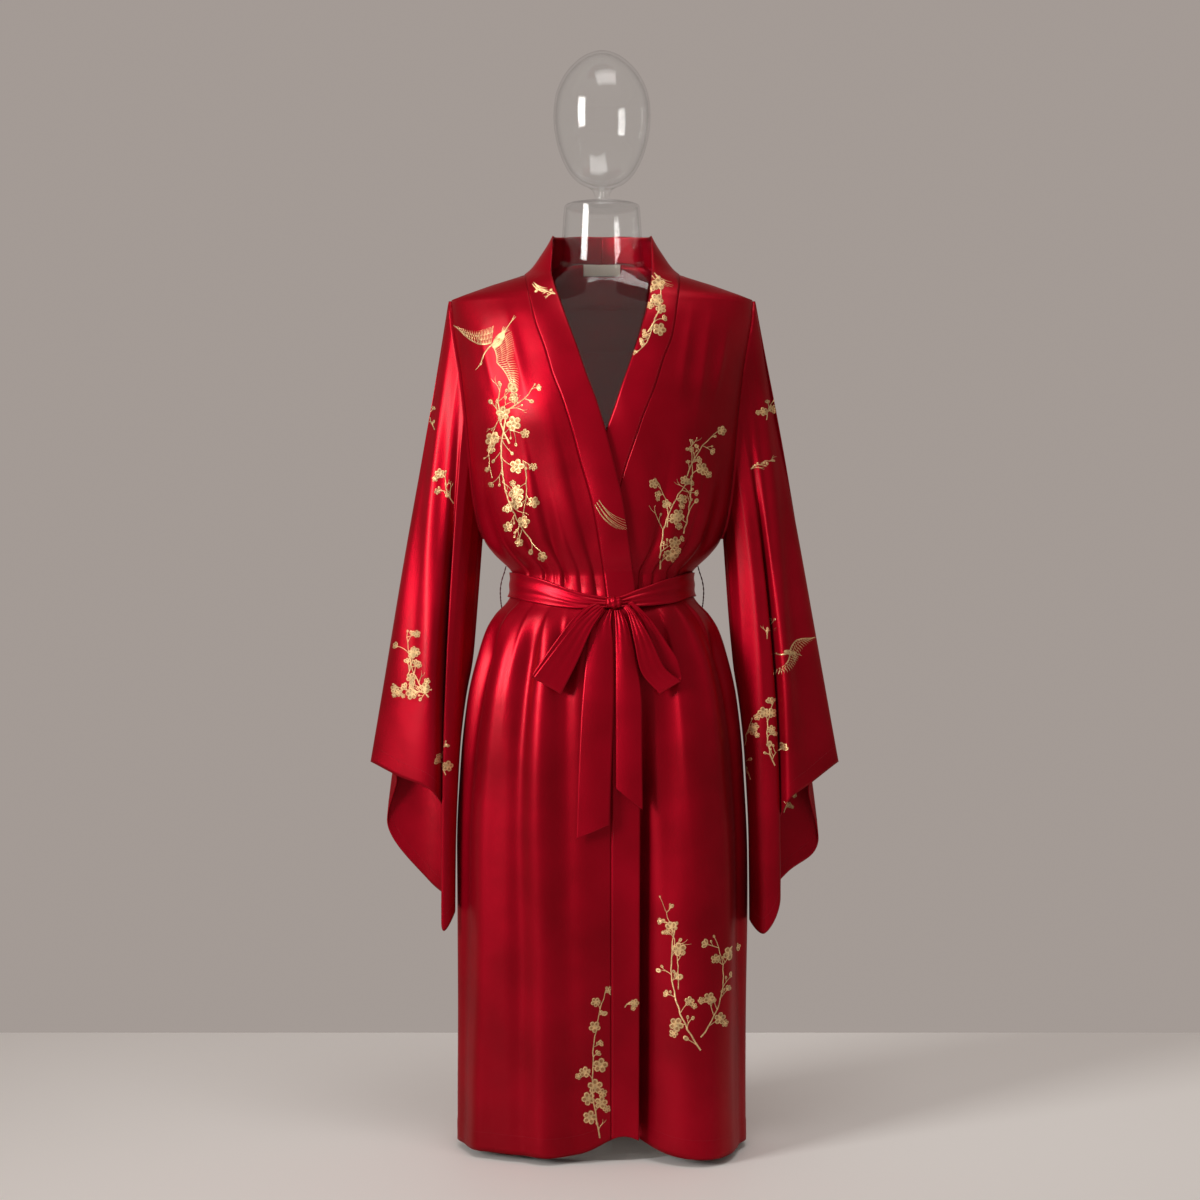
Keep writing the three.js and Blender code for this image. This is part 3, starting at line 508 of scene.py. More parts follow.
def raise_by(nodes, shader, pattern, strength, distance):
    """Let a pattern raise the surface a little, in the shading only."""
    rise = add_node(nodes, "Bump", pattern, "Height", Strength=strength, Distance=distance)
    lead(rise.outputs["Normal"], shader, "Normal")


# %% The satin, and a copy of it painted lighter
def satin_material(name, dark, light, rough):
    material, nodes, shader = new_material(name)
    place = add_node(nodes, "TexCoord").outputs
    slow = noise(nodes, place["Object"], 9, detail=2)
    colour_by(nodes, shader, slow, dark, light)
    vary(nodes, shader, "Roughness", slow, rough - 0.05, rough + 0.06)
    weave = add_node(nodes, "TexWave", place["UV"], "Vector", Scale=420, Distortion=0.6, Detail=1)
    both = add_node(nodes, "Math")
    both.operation = "MULTIPLY_ADD"
    both.inputs[1].default_value = 0.12
    lead(weave.outputs["Fac"], both, 0)
    lead(noise(nodes, place["Object"], 55, detail=4), both, 2)
    raise_by(nodes, shader, both.outputs["Value"], 0.22, 0.0015)
    put(
        shader, Metallic=0.6, Specular_IOR_Level=0.08, Specular_Tint=(0.75, 0.06, 0.09, 1),
        Coat_Weight=0.11, Coat_Roughness=0.28, Sheen_Weight=0.03, Sheen_Roughness=0.4,
        Sheen_Tint=(1.0, 0.35, 0.35, 1),
    )
    return material


satin = satin_material("red satin", (0.225, 0.0005, 0.0065), (0.305, 0.0008, 0.010), 0.36)
# The doubled pieces, neckband, sash, bow and knot, take a copy of the same satin painted lighter:
# painted light, for the brighter light they catch. The copy is also a little less rough.
doubled_satin_painted_lighter = satin_material("doubled red satin", (0.25, 0.0005, 0.0075), (0.35, 0.0009, 0.012), 0.33)

# %% [markdown]
# ## The two fronts and the back
#
# A front panel runs from the side seam to the seam of the neckband, and from the hem to the
# shoulder. Above the underarm its side edge swings away from the side line and makes half of the
# armhole. The wearer's left front goes under the right one, so it is drawn in where it is covered
# and sinks into a groove beside the edge that lies on it. The bottom of each panel is turned up
# and sewn: a hem two layers thick, which stands out by half a millimetre.

# %% Edges of the fronts
# the neckband's seam and its free edge, to the side of the pole, at a height
EDGE = "z seam free"
RIGHT_FRONT_EDGES = table(
    EDGE,
    (0, 13, 51.5), (700, 12, 51), (742, 7, 46), (814, -3, 36), (869, -13, 28), (929, -30, 14),
    (960, -38, 6), (1007, -52, -8.5), (1040, -65, -21), (1073, -75, -32), (1109, -88, -45),
    (1147, -97, -58), (1168, -101, -65), (1184, -103, -68), (1207, -103, -67), (1236, -103, -66),
)
LEFT_FRONT_EDGES = table(
    EDGE,
    (0, -8, -46), (700, -8, -46), (742, -4, -42), (814, 8, -31), (869, 18, -22), (915, 31, -10),
    (957, 45, 3), (982, 53, 12), (1021, 68, 25), (1058, 80, 38), (1093, 93, 49), (1139, 100, 61),
    (1168, 103, 65), (1184, 103, 67), (1207, 103, 67), (1236, 103, 66),
)
top_free_edge = curve(RIGHT_FRONT_EDGES, "z", "free")
HEM_FOLD = 27
HEM_STEP = 0.5
# how far past the upper edge the lower front is drawn in, and the groove beside that edge
COVERED = (4, 42)
GROOVE = Named(at=3, wide=16, deep=16, grows=400)


def no_inset(angle, z):
    return np.zeros(np.broadcast(angle, z).shape)


def under_front(angle, z):
    past = half_at(z) * np.sin(np.radians(angle)) - top_free_edge(z)
    covered = 1 - ramp(past, *COVERED)
    deep = ramp(BELT_LOW_Z - z, 0, GROOVE.grows) * GROOVE.deep
    return -UNDER_FRONT * covered - deep * np.exp(-(((past - GROOVE.at) / GROOVE.wide) ** 2))


def hem_step(z):
    return HEM_STEP * (1 - ramp(z, HEM_Z + HEM_FOLD - 1, HEM_Z + HEM_FOLD + 1))


# %% The armhole and a front
ARMHOLE_MIDDLE = (SHOULDER_Z + UNDERARM_Z) / 2
ARMHOLE_STEPS = np.arange(9) / 8 * math.pi
ARMHOLE_Z = ARMHOLE_MIDDLE - (SHOULDER_Z - ARMHOLE_MIDDLE) * np.cos(ARMHOLE_STEPS)
ARMHOLE_TURN = ARMHOLE_OPEN * np.abs(np.sin(ARMHOLE_STEPS)) ** 1.3
ARMHOLE_TURN[[0, -1]] = 0


def armhole(z):
    return np.interp(z, ARMHOLE_Z, ARMHOLE_TURN, left=0, right=0)


def front_panel(side, edges, inset):
    seam_x = curve(edges, "z", "seam")

    def surface(u, v):
        z = mix(HEM_Z, FRONT_TOP_Z, v)
        start = side * (90 - armhole(z) - turn_of(SEAM / 2, z))
        stop = angle_of(seam_x(z) + side * SEAM, z)
        angle = mix(start, stop, u)
        return shell(angle, z, inset(angle, z) + hem_step(z))

    return surface


# %% Cut and hang the fronts
# each hand, the side it is on, the edges of its front, and how far that is drawn in
HANDS = (("right", -1, RIGHT_FRONT_EDGES, no_inset), ("left", 1, LEFT_FRONT_EDGES, under_front))
for hand, side, edges, inset in HANDS:
    cloth(
        f"satin_front_{hand}", f"front_{hand} front_{hand}_skirt", front_panel(side, edges, inset),
        (110, 190), CLOTH, satin, flip=side > 0,
        cut=dict(flat=(0.34, 1.26), area=0.32, held="hung", rests_on=["form_torso"]),
    )


# %% Cut and hang the back
# the angles between which the neck rises behind, and the height from which the back is cut to it
NECK_RISES = (90, 165)
NECK_CUT_Z = 1120


def neck_seam(angle):
    return mix(NECK_SIDE_Z, NECK_BACK_Z, ramp(np.abs(turn(angle, 0)), *NECK_RISES))


def back_panel(u, v):
    level = mix(HEM_Z, NECK_SIDE_Z, v)
    opened = armhole(level) + turn_of(SEAM / 2, level)
    angle = mix(90 + opened, 270 - opened, u)
    height = level + ramp(level, NECK_CUT_Z, NECK_SIDE_Z) * (neck_seam(angle) - NECK_SIDE_Z)
    return shell(angle, height, hem_step(height))


cloth(
    "satin_back", "back back_skirt", back_panel, (170, 190), CLOTH, satin,
    cut=dict(flat=(0.62, 1.26), area=0.62, held="hung", rests_on=["form_torso"]),
)

# %% [markdown]
# ## The neckband
#
# A kimono has no collar as such. One long straight strip, folded double, is sewn up one front
# edge, round the neck and down the other front, and it stands up behind the neck. It is joined at
# the centre back, so each half is a piece here. The strip is worked out between two lines: the
# seam on the panels, and the free edge, which turns the corner at the neck.

# %% Sew on the neckband
# the height of the free edge beside a height on the seam
BAND_TURN = table(
    "seam free",
    (0, 0), (1040, 1041), (1073, 1077), (1109, 1120), (1150, 1170), (1169, 1203), (1179, 1224),
    (1184, 1234),
)
band_free = curve(BAND_TURN, "seam", "free")
# the share of the band below the neck, the share of the rest in which it turns, and its puff
BAND_UP = 0.86
BAND_TURNS = 0.04
BAND_PUFF = 0.5


def neckband(side, edges, inset):
    """u runs along the band, from the hem up to the neck and round it; v runs across it."""
    seam_x = curve(edges, "z", "seam")
    free_x = curve(edges, "z", "free")

    def surface(u, v):
        z = mix(HEM_Z, FRONT_TOP_Z, np.minimum(u / BAND_UP, 1))
        round_neck = np.clip((u - BAND_UP) / (1 - BAND_UP), 0, 1)
        turned = 90 + 90 * np.clip((round_neck - BAND_TURNS) / (1 - BAND_TURNS), 0, 1)
        at_neck = ramp(round_neck, 0, BAND_TURNS)
        seam_angle = mix(angle_of(seam_x(z), z), side * turned, at_neck)
        seam_z = mix(z, neck_seam(turned) + SEAM, at_neck)
        free_z = band_free(z)
        free_angle = mix(angle_of(free_x(free_z), free_z), side * turned, at_neck)
        collar_z = mix(COLLAR_SIDE_Z, COLLAR_BACK_Z, ramp(turned, *NECK_RISES))
        free_z = mix(free_z, collar_z, at_neck)
        angle = mix(seam_angle, free_angle, v)
        height = mix(seam_z, free_z, v)
        puffed = BAND_PUFF * np.sin(np.pi * v) ** 0.5
        return shell(angle, height, inset(angle, height) + puffed)

    return surface


for hand, side, edges, inset in HANDS:
    cloth(
        f"satin_neckband_{hand}", f"neckband_{hand}", neckband(side, edges, inset),
        (420, 14), BAND_WALL, doubled_satin_painted_lighter, flip=side > 0,
        cut=dict(flat=(0.042, 1.37), held="stretched", rests_on=[f"front_{hand}", "back"]),
    )

# %% [markdown]
# ## The sleeves
#
# A kimono sleeve is a wide rectangle folded over the shoulder, sewn to the armhole, and open at
# the wrist. On an empty form it has no arm in it, so it drops beside the body, and its open end
# hangs as a zigzag of folds. Each line of the table is one thread of the cloth: it leaves the
# armhole at some place, stands out a little at the seam, falls, and ends at a point of the open
# end. A smooth closed curve through those lines gives the cloth between them.

# %% Lines of the two sleeves
# degrees round the armhole, then the point at the open end: how far out, y and z; and how quickly
# the line turns down
THREAD_LINE = "ring out y z fall"
SLEEVE_RIGHT = table(
    THREAD_LINE,
    (0, 314, 0, 522, 1), (45, 274, -30, 505, 1.2), (70, 226, -44, 484, 2.2), (86, 209, -8, 430, 2.6),
    (104, 215, -33, 303, 2.6), (138, 198, -25, 320, 1.6), (180, 201, 2, 332, 1),
    (228, 238, 32, 357, 1.4), (286, 294, 38, 427, 1.2), (326, 281, 14, 500, 1),
)
SLEEVE_LEFT = table(
    THREAD_LINE,
    (0, 321, 0, 522, 1), (45, 280, -30, 495, 1.2), (68, 249, -44, 472, 1.8), (82, 233, -8, 418, 2.2),
    (96, 239, -34, 338, 2.4), (118, 219, -38, 295, 2.4), (146, 200, -22, 308, 1.6),
    (180, 203, 3, 318, 1), (230, 254, 32, 367, 1.4), (286, 297, 38, 405, 1.2), (326, 283, 14, 487, 1),
)
ARMHOLE_END = 2.5
# how far a sleeve stands out at its seam, over what share of its length, and how clear of the
# skirt it hangs; then how far its ripples go forward and how far out
STAND = 4
STAND_SHARE = 0.02
SLEEVE_CLEAR = 3.2
RIPPLE = 1.6
RIPPLE_OUT = 1.0


def closed_curve(rows, key, whole=0):
    """A smooth closed curve through a column of a table, as a function of the row number."""
    values = np.array([getattr(row, key) for row in rows], float)
    count = len(values)

    def get(i):
        return values[i % count] + whole * (i // count)

    def at(place):
        i = np.floor(place).astype(int)
        t = place - i
        a, b, c, d = get(i - 1), get(i), get(i + 1), get(i + 2)
        bend = (2 * a - 5 * b + 4 * c - d) * t * t + (3 * b - a - 3 * c + d) * t**3
        return b + 0.5 * ((c - a) * t + bend)

    return at


def larger(a, b, soft):
    """The larger of the two, with a soft corner where they meet."""
    return (a + b + np.hypot(a - b, soft)) / 2


def armhole_ring(side, ring):
    tall = SHOULDER_Z - ARMHOLE_MIDDLE - ARMHOLE_END
    z = ARMHOLE_MIDDLE + tall * np.cos(np.radians(ring))
    inset = turn_of(SEAM + CLOTH / 2, z)
    swing = np.clip(np.sin(np.radians(ring)) * 2.6, -1, 1)
    return shell(side * (90 - swing * np.maximum(armhole(z) - inset, 0)), z)


def sleeve(side, rows):
    ring = closed_curve(rows, "ring", whole=360)
    out_at, y_at, z_at, fall_at = [closed_curve(rows, key) for key in ("out", "y", "z", "fall")]

    def surface(u, v):
        line = u * len(rows)
        start = armhole_ring(side, ring(line))
        t = np.clip((v - STAND_SHARE) / (1 - STAND_SHARE), 0, 1)
        stand = STAND * np.clip(v / STAND_SHARE, 0, 1)
        fallen = 1 - (1 - t) ** fall_at(line)
        end_y = y_at(line)
        y = mix(start[..., 1], end_y, ramp(t, 0, 0.8))
        z = mix(start[..., 2], z_at(line), t)
        reach = mix(np.abs(start[..., 0]) + stand, out_at(line), fallen)
        # soft ripples that run down the cloth, deepest half way
        swell = np.sin(3.2 * line + 5 * t) + 0.7 * np.sin(5.1 * line - 7 * t + 1)
        half_way = np.sin(np.pi * np.clip(t * 1.1, 0, 1))
        ripple = swell * half_way * (1 - 0.6 * ramp(np.abs(line - 3.5), 2, 0.5))
        y = y + RIPPLE * ripple
        reach = reach + RIPPLE_OUT * ripple * np.sign(end_y - 5)
        deep = np.where(y < 0, front_at(z), back_at(z))
        skirt = half_at(z) * np.sqrt(np.clip(1 - (y / deep) ** 2, 0, 1)) + SLEEVE_CLEAR
        pushed = mix(reach, larger(reach, skirt, 5), ramp(t, 0.1, 0.4))
        return np.stack([side * pushed, y, z], axis=-1)

    return surface


# %% Hang the sleeves
for hand, side, rows in (("right", -1, SLEEVE_RIGHT), ("left", 1, SLEEVE_LEFT)):
    cloth(
        f"satin_sleeve_{hand}", f"sleeve_{hand}", sleeve(side, rows),
        (180, 150), CLOTH, satin, round_piece=True, flip=side > 0,
        cut=dict(flat=(0.38, 0.60), area=0.20, held="hung", rests_on=["back", f"front_{hand}"]),
    )

# %% [markdown]
# ## The sash and its bow
#
# The sash is one long strip of doubled satin. It goes round the waist under two thread loops, and
# is tied in a bow that droops under its own weight. Beside the knot the strip is squeezed to a
# third of its width, so it gathers into creases there, which fade out towards the sides.

# %% The sash round the waist
SASH_OUT = 3.6
SASH_ROLL = 1.0
KNOT_ANGLE = 7
SQUEEZED = 34


def sash_round(u, v):
    angle = mix(-180, 180, u)
    squeeze = np.exp(-((turn(angle, KNOT_ANGLE) / SQUEEZED) ** 2))
    creases = np.cos(4 * np.pi * v) * 0.45 + squeeze * 0.7 * np.sin(22 * v + angle / 19)
    rolled = -SASH_ROLL * (2 * v - 1) ** 6
    out = SASH_OUT + creases + rolled * squeeze
    height = mix(sash_low(angle), sash_top(angle), v)
    return shell(angle, height, out - pleats(angle, height))


cloth(
    "satin_sash", "sash_wrap", sash_round, (360, 18), SASH_WALL, doubled_satin_painted_lighter, round_piece=True,
    cut=dict(flat=(0.041, 0.76), held="stretched", rests_on=["back", "front_right"]),
)

# %% Loops and tails of the bow
# the two edges of the strip, seen from the front, and how far it is from the pole
STRIP = "x z x2 z2 y"
LOOP_RIGHT = table(
    STRIP,
    (-3, 735, 3, 731, -108), (-15, 728, -3, 721, -111), (-34, 712, -15, 701, -116),
    (-60, 680, -32, 662, -120), (-87, 645, -51, 624, -119.5), (-89, 642, -53, 621, -115),
    (-90, 647, -54, 626, -110.5), (-64, 684, -36, 667, -110.5), (-38, 718, -19, 706, -110),
    (-20, 733, -8, 726, -107), (-7, 738, -2, 734, -103),
)
LOOP_LEFT = table(
    STRIP,
    (28.5, 732, 33, 736, -108), (35, 721, 45, 722, -112), (42, 688, 63, 693, -117),
    (51, 648, 81, 655, -117), (72, 623, 100, 639, -113), (74, 619, 103, 637, -108.5),
    (76, 624, 104, 644, -104.5), (66, 653, 99, 664, -105.5), (56, 695, 86, 684, -107),
    (45, 725, 64, 716, -106), (34, 738, 39, 740, -103),
)
TAIL_RIGHT = table(
    STRIP,
    (3, 728.5, 13, 728.5, -102), (-12, 712, 12, 712, -104.5), (-18, 690, 14, 690, -107),
    (-21, 665, 15, 665, -109.5), (-27, 602, 15, 602, -114), (-31, 519, 12, 519, -117),
    (-34, 430, 10, 449, -117),
)
TAIL_LEFT = table(
    STRIP,
    (16.5, 728.5, 25, 728.5, -102), (17.5, 707, 35, 707, -104.5), (18, 665, 44, 665, -109),
    (18, 620, 51, 620, -112.5), (18, 545, 52, 545, -113), (18, 496, 53, 468, -113),
)


def open_curve(rows, key):
    """A smooth curve through a column, from its first row (0) to its last (1)."""
    ends = [rows[0], *rows, rows[-1]]
    smooth = closed_curve(ends, key)
    return lambda v: smooth(1 + np.clip(v * (len(rows) - 1), 0, len(rows) - 1.0001))


# the share of a strip that is gathered at an end, and how deep its creases are
GATHERED = 0.22
STRIP_CREASE = 0.7


def strip(rows, bow, gathers):
    """u runs across the strip, v along it from the knot. It bows forward and gathers."""
    x, z, x2, z2, y = [open_curve(rows, key) for key in ("x", "z", "x2", "z2", "y")]

    def surface(u, v):
        near = np.exp(-((v / GATHERED) ** 2))
        if gathers > 1:
            near = near + np.exp(-(((1 - v) / GATHERED) ** 2))
        creases = STRIP_CREASE * near * np.sin(19 * u + 3 * v)
        forward = bow * ramp(v, 0, 0.5) * np.sin(np.pi * u) + creases
        return np.stack([mix(x(v), x2(v), u), y(v) - forward, mix(z(v), z2(v), u)], axis=-1)

    return surface


# bow: millimetres forward in the middle. ends: how many are gathered. cut: metres. area: m2
BOW = table(
    "part rows bow ends cut area",
    ("loop_right", LOOP_RIGHT, 0, 2, 0.25, 0.0080),
    ("loop_left", LOOP_LEFT, 0, 2, 0.24, 0.0075),
    ("tail_right", TAIL_RIGHT, 2.5, 1, 0.30, 0.0120),
    ("tail_left", TAIL_LEFT, 2.5, 1, 0.25, 0.0080),
)
for row in BOW:
    cloth(
        f"satin_{row.part}", f"sash_{row.part}", strip(row.rows, row.bow, row.ends),
        (16, 150), SASH_WALL, doubled_satin_painted_lighter,
        cut=dict(flat=(0.041, row.cut), area=row.area, held="gathered", rests_on=["sash_wrap"]),
    )

# %% [markdown]
# ## The knot
#
# The knot is the same strip once more, wrapped round the others and pulled tight. From the front
# it is a small roll lying across, with the strip's creases running round it. A tube that is
# closed at both ends, with ridges along it, gives that.

# %% Tie the knot
KNOT = Named(x=15.5, y=-104, z=739, long=11.5, deep=7.0, tall=7.8, ridges=3, ridge=0.09)


def knot_surface(u, v):
    t = mix(-0.985, 0.985, v)
    turned = 2 * np.pi * u
    round_end = (1 - t * t) ** 0.36
    ridge = 1 + KNOT.ridge * np.cos(np.pi * KNOT.ridges * t + 0.5 * np.sin(turned))
    crease = 1 + 0.05 * np.sin(4 * turned + 3 * t) + 0.03 * np.sin(7 * turned - 5 * t)
    size = round_end * ridge * crease
    return np.stack(
        [
            KNOT.x + KNOT.long * t + 0 * turned,
            KNOT.y - KNOT.deep * size * np.cos(turned),
            KNOT.z + KNOT.tall * size * np.sin(turned),
        ],
        axis=-1,
    )


knot_mesh = grid_mesh(knot_surface, 72, 60, round_piece=True)
open_edges = [edge for edge in knot_mesh.edges if edge.is_boundary]
bmesh.ops.holes_fill(knot_mesh, edges=open_edges)
bmesh.ops.recalc_face_normals(knot_mesh, faces=knot_mesh.faces)
stand_for(finish_mesh(knot_mesh, "satin_knot", doubled_satin_painted_lighter), "sash_knot")

# %% [markdown]
# ## The clear dress form
#
# The robe is shown on a form of clear glass: a torso with no arms or legs, a neck, and an egg
# for a head, on a steel pole and a clear oval base. They are round about the pole, so each starts
# as one profile turned round it by the spin operator. The torso and neck are then pressed from a
# circle into the oval of a body, wider than it is deep, by moving each point of the turned mesh.

# %% Clear glass
glass, nodes, shader = new_material("clear glass")
# Painted shade: the glass's colour turns from near white to dark grey towards its grazing edges, a dark
# outline standing in for the way clear glass darkens at its edges; it is made more opaque there too.
rim = add_node(nodes, "LayerWeight", Blend=0.3).outputs["Facing"]
colour_by(nodes, shader, rim, (0.96, 0.975, 0.975), (0.30, 0.30, 0.31), 0.35, 1.0)
vary(nodes, shader, "Alpha", rim, 0.45, 0.9)
put(shader, Transmission_Weight=1, Roughness=0.0, IOR=1.01)
put(shader, Coat_Weight=1, Coat_Roughness=0.06, Coat_IOR=1.6)

steel, nodes, shader = new_material("brushed steel")
streaks = noise(nodes, add_node(nodes, "TexCoord").outputs["Object"], 60)
vary(nodes, shader, "Roughness", streaks, 0.26, 0.42)
put(shader, Base_Color=(0.55, 0.56, 0.57, 1), Metallic=1)

# %% Sizes of the form
PRESSED = ("half", "front", "back")
FORM_SECTIONS = table(
    SECTION,
    (560, 160, 94, 98), (640, 152, 91, 94), (700, 130, 84, 82), (740, 110, 79, 74), (775, 107, 79, 74),
    (823, 128, 88, 82), (900, 148, 102, 91), (966, 157, 105, 94), (1030, 163, 97, 92),
    (1085, 168, 84, 86), (1125, 172, 73, 77), (1142, 170, 68, 72), (1154, 158, 65, 70),
    (1165, 130, 62, 67), (1176, 95, 58, 63), (1187, 68, 56, 61), (1199, 58, 55, 60),
)
NECK_SECTIONS = table(
    SECTION,
    (1199, 58, 55, 60), (1212, 56, 54, 59), (1240, 54, 53, 58), (1275, 51.5, 52, 57),
    (1278, 51, 51.5, 56.5),
)
HEAD_OUTSIDE = table(
    "r z",
    (0, 1488.6), (14, 1486), (32, 1476), (50, 1457), (62, 1432), (66, 1404), (64, 1375), (56, 1345),
    (44, 1322), (31, 1309), (17, 1302), (10.5, 1293), (10.5, 1284), (16.5, 1281), (17, 1278.3),
)
HEAD_INSIDE = table(
    "r z",
    (6, 1278.3), (6, 1302), (15, 1307), (28.5, 1313), (41.5, 1325), (53, 1347), (61, 1376), (63, 1404),
    (58.8, 1431), (46.5, 1455), (29, 1473), (13, 1482), (0, 1484.6),
)
GLASS_WALL = 3


# %% Turn a profile round the pole and press it oval
def spun(profile, steps=96):
    """A profile of (radius, height) pairs, from the pole's axis and back to it, turned once."""
    bm = bmesh.new()
    points = [bm.verts.new((radius, 0, height)) for radius, height in profile]
    edges = [bm.edges.new(pair) for pair in zip(points, points[1:])]
    bmesh.ops.spin(
        bm, geom=[*points, *edges], cent=(0, 0, 0), axis=(0, 0, 1), angle=math.tau, steps=steps,
        use_merge=True,
    )
    bmesh.ops.remove_doubles(bm, verts=bm.verts, dist=0.01)
    bmesh.ops.recalc_face_normals(bm, faces=bm.faces)
    return bm


def press_oval(bm, half, front, behind, wall):
    """Press a turned mesh into ovals, and keep its wall as thick at the front as at the side."""
    for vert in bm.verts:
        x, y, z = vert.co
        radius = math.hypot(x, y)
        if radius < 0.001:
            continue
        deep, wide = (front(z) if y < 0 else behind(z)), half(z)
        in_wall = radius > wide - wall - 0.1
        reach = deep - (wide - radius) if in_wall else deep * radius / wide
        vert.co = (x, y / radius * reach, z)


def form_piece(name, nodes, bm, material):
    for vert in bm.verts:
        vert.co = vert.co * MM
    stand_for(finish_mesh(bm, name, material), nodes)


# %% Turn the torso and neck
def closed_profile(half, low, high, inset, corner, count):
    """Half the outline of a closed body, from its lowest point up to its top, corners rounded."""
    bow = [(1 - math.cos(a), 1 - math.sin(a)) for a in np.linspace(0, math.pi / 2, 6)]
    base, top = low + inset, high - inset
    wide_low, wide_high = float(half(low)) - inset, float(half(high)) - inset
    levels = np.linspace(base + corner, top - corner, count)
    sides = [(float(half(z)) - inset, float(z)) for z in levels]
    lower = [(wide_low - corner * a, base + corner * b) for a, b in bow[1:]]
    upper = [(wide_high - corner * a, top - corner * b) for a, b in bow[1:]]
    return [(0, base), *reversed(lower), *sides, *upper, (0, top)]


body = curves([*FORM_SECTIONS, *NECK_SECTIONS[1:]], "z", *PRESSED)
low, high = FORM_SECTIONS[0].z, NECK_SECTIONS[-1].z
body_mesh = spun(closed_profile(body[0], low, high, 0, 1.6, 150), steps=120)
hollow_mesh = spun(closed_profile(body[0], low, high, GLASS_WALL, 1.0, 150), steps=120)
for shell_mesh in (body_mesh, hollow_mesh):
    press_oval(shell_mesh, *body, GLASS_WALL)
bmesh.ops.reverse_faces(hollow_mesh, faces=hollow_mesh.faces)
inner = bpy.data.meshes.new("hollow of the body")
hollow_mesh.to_mesh(inner)
hollow_mesh.free()
body_mesh.from_mesh(inner)
bpy.data.meshes.remove(inner)
form_piece("glass_body", "form_torso form_neck", body_mesh, glass)

# %% Turn the head, the pole and the base
profile = []
along = np.linspace(0, 1, 80)
for rows in (HEAD_OUTSIDE, HEAD_INSIDE):
    profile += zip(np.maximum(open_curve(rows, "r")(along), 0), open_curve(rows, "z")(along))
form_piece("glass_head", "form_head", spun(profile), glass)

POLE_PROFILE = [
    (0, 8.3), (14, 8.3), (14, 550), (18, 553.7), (44.2, 553.7), (45, 554.5), (45, 559), (44.3, 559.7),
    (0, 559.7),
]
form_piece("steel_pole", "form_pole", spun(POLE_PROFILE), steel)
BASE_PROFILE = [(0, 0), (119.4, 0), (120, 0.6), (120, 6), (119.4, 7.3), (118, 8), (0, 8)]
BASE_SIZE = table(SECTION, (0, 120, 76, 84), (8, 120, 76, 84))
base_mesh = spun(BASE_PROFILE, steps=144)
press_oval(base_mesh, *curves(BASE_SIZE, "z", *PRESSED), GLASS_WALL)
form_piece("glass_base", "form_base", base_mesh, glass)

# %% [markdown]
# ## The small trim
#
# Two loops of twisted thread are sewn into the side seams and hold the sash up. Inside the back of
# the neck there is a woven label, which is left plain.

# %% Thread loops
# how far out from the pole, and the height; then the two strands: how thick they are, how far each
# lies from the middle of the loop, and how often they turn round each other
THREAD_LOOP = table(
    "x z",
    (130.6, 787.5), (132.6, 780), (136.4, 768), (138.2, 756), (138.0, 746), (137.4, 739), (136.6, 733),
    (135.6, 729),
)
STRAND = 0.55
STRAND_OFF = 0.45
TWISTS = 6

thread, nodes, shader = new_material("dark thread")
fuzz = noise(nodes, add_node(nodes, "TexCoord").outputs["Object"], 900)
colour_by(nodes, shader, fuzz, (0.03, 0.002, 0.006), (0.09, 0.006, 0.014))
put(shader, Roughness=0.6)


def tube_along(bm, path, radius, sides=8):
    """A round tube along a list of points in millimetres, closed at both ends."""
    rings = []
    for i, point in enumerate(path):
        ahead = Vector(path[min(i + 1, len(path) - 1)]) - Vector(path[max(i - 1, 0)])
        frame_turn = ahead.to_track_quat("Z", "Y")
        ring = []
        for k in range(sides):
            a = math.tau * k / sides
            offset = frame_turn @ Vector((math.cos(a) * radius, math.sin(a) * radius, 0))
            ring.append(bm.verts.new((Vector(point) + offset) * MM))
        rings.append(ring)
    for one, two in zip(rings, rings[1:]):
        for k in range(sides):
            bm.faces.new((one[k], one[(k + 1) % sides], two[(k + 1) % sides], two[k]))
    bm.faces.new(rings[0][::-1])
    bm.faces.new(rings[-1])


along = np.linspace(0, 1, 60)
reach, level = open_curve(THREAD_LOOP, "x")(along), open_curve(THREAD_LOOP, "z")(along)
for side, hand in ((-1, "right"), (1, "left")):
    bm = bmesh.new()
    for half_turn in (0, math.pi):
        twist = along * math.tau * TWISTS + half_turn
        path = [
            (side * (r + STRAND_OFF * math.cos(a)), STRAND_OFF * math.sin(a), z)
            for r, z, a in zip(reach, level, twist)
        ]
        tube_along(bm, path, STRAND)
    bmesh.ops.recalc_face_normals(bm, faces=bm.faces)
    stand_for(finish_mesh(bm, f"thread_loop_{hand}", thread), f"belt_loop_{hand}")

# %% The plain woven label
LABEL = Named(half=26, low=1192.5, top=1208.3, wall=1.0)

tape, nodes, shader = new_material("woven tape")
place = add_node(nodes, "TexCoord").outputs["UV"]
ribs = add_node(nodes, "TexWave", place, "Vector", Scale=260).outputs["Fac"]
colour_by(nodes, shader, ribs, (0.84, 0.77, 0.64), (0.92, 0.87, 0.76), 0.2, 0.8)
raise_by(nodes, shader, ribs, 0.5, 0.0003)
put(shader, Roughness=0.7)


def label_surface(u, v):
    z = mix(LABEL.low, LABEL.top, v)
    across = mix(LABEL.half, -LABEL.half, u)
    inside = CLOTH / 2 + SEAM + LABEL.wall / 2
    return shell(180 - np.degrees(np.arcsin(across / half_at(z))), z, -inside)


cloth(
    "woven_label", "label", label_surface, (30, 10), LABEL.wall, tape, slot_name="label",
    cut=dict(flat=(0.016, 0.052), held="stretched", rests_on=["back"]),
)

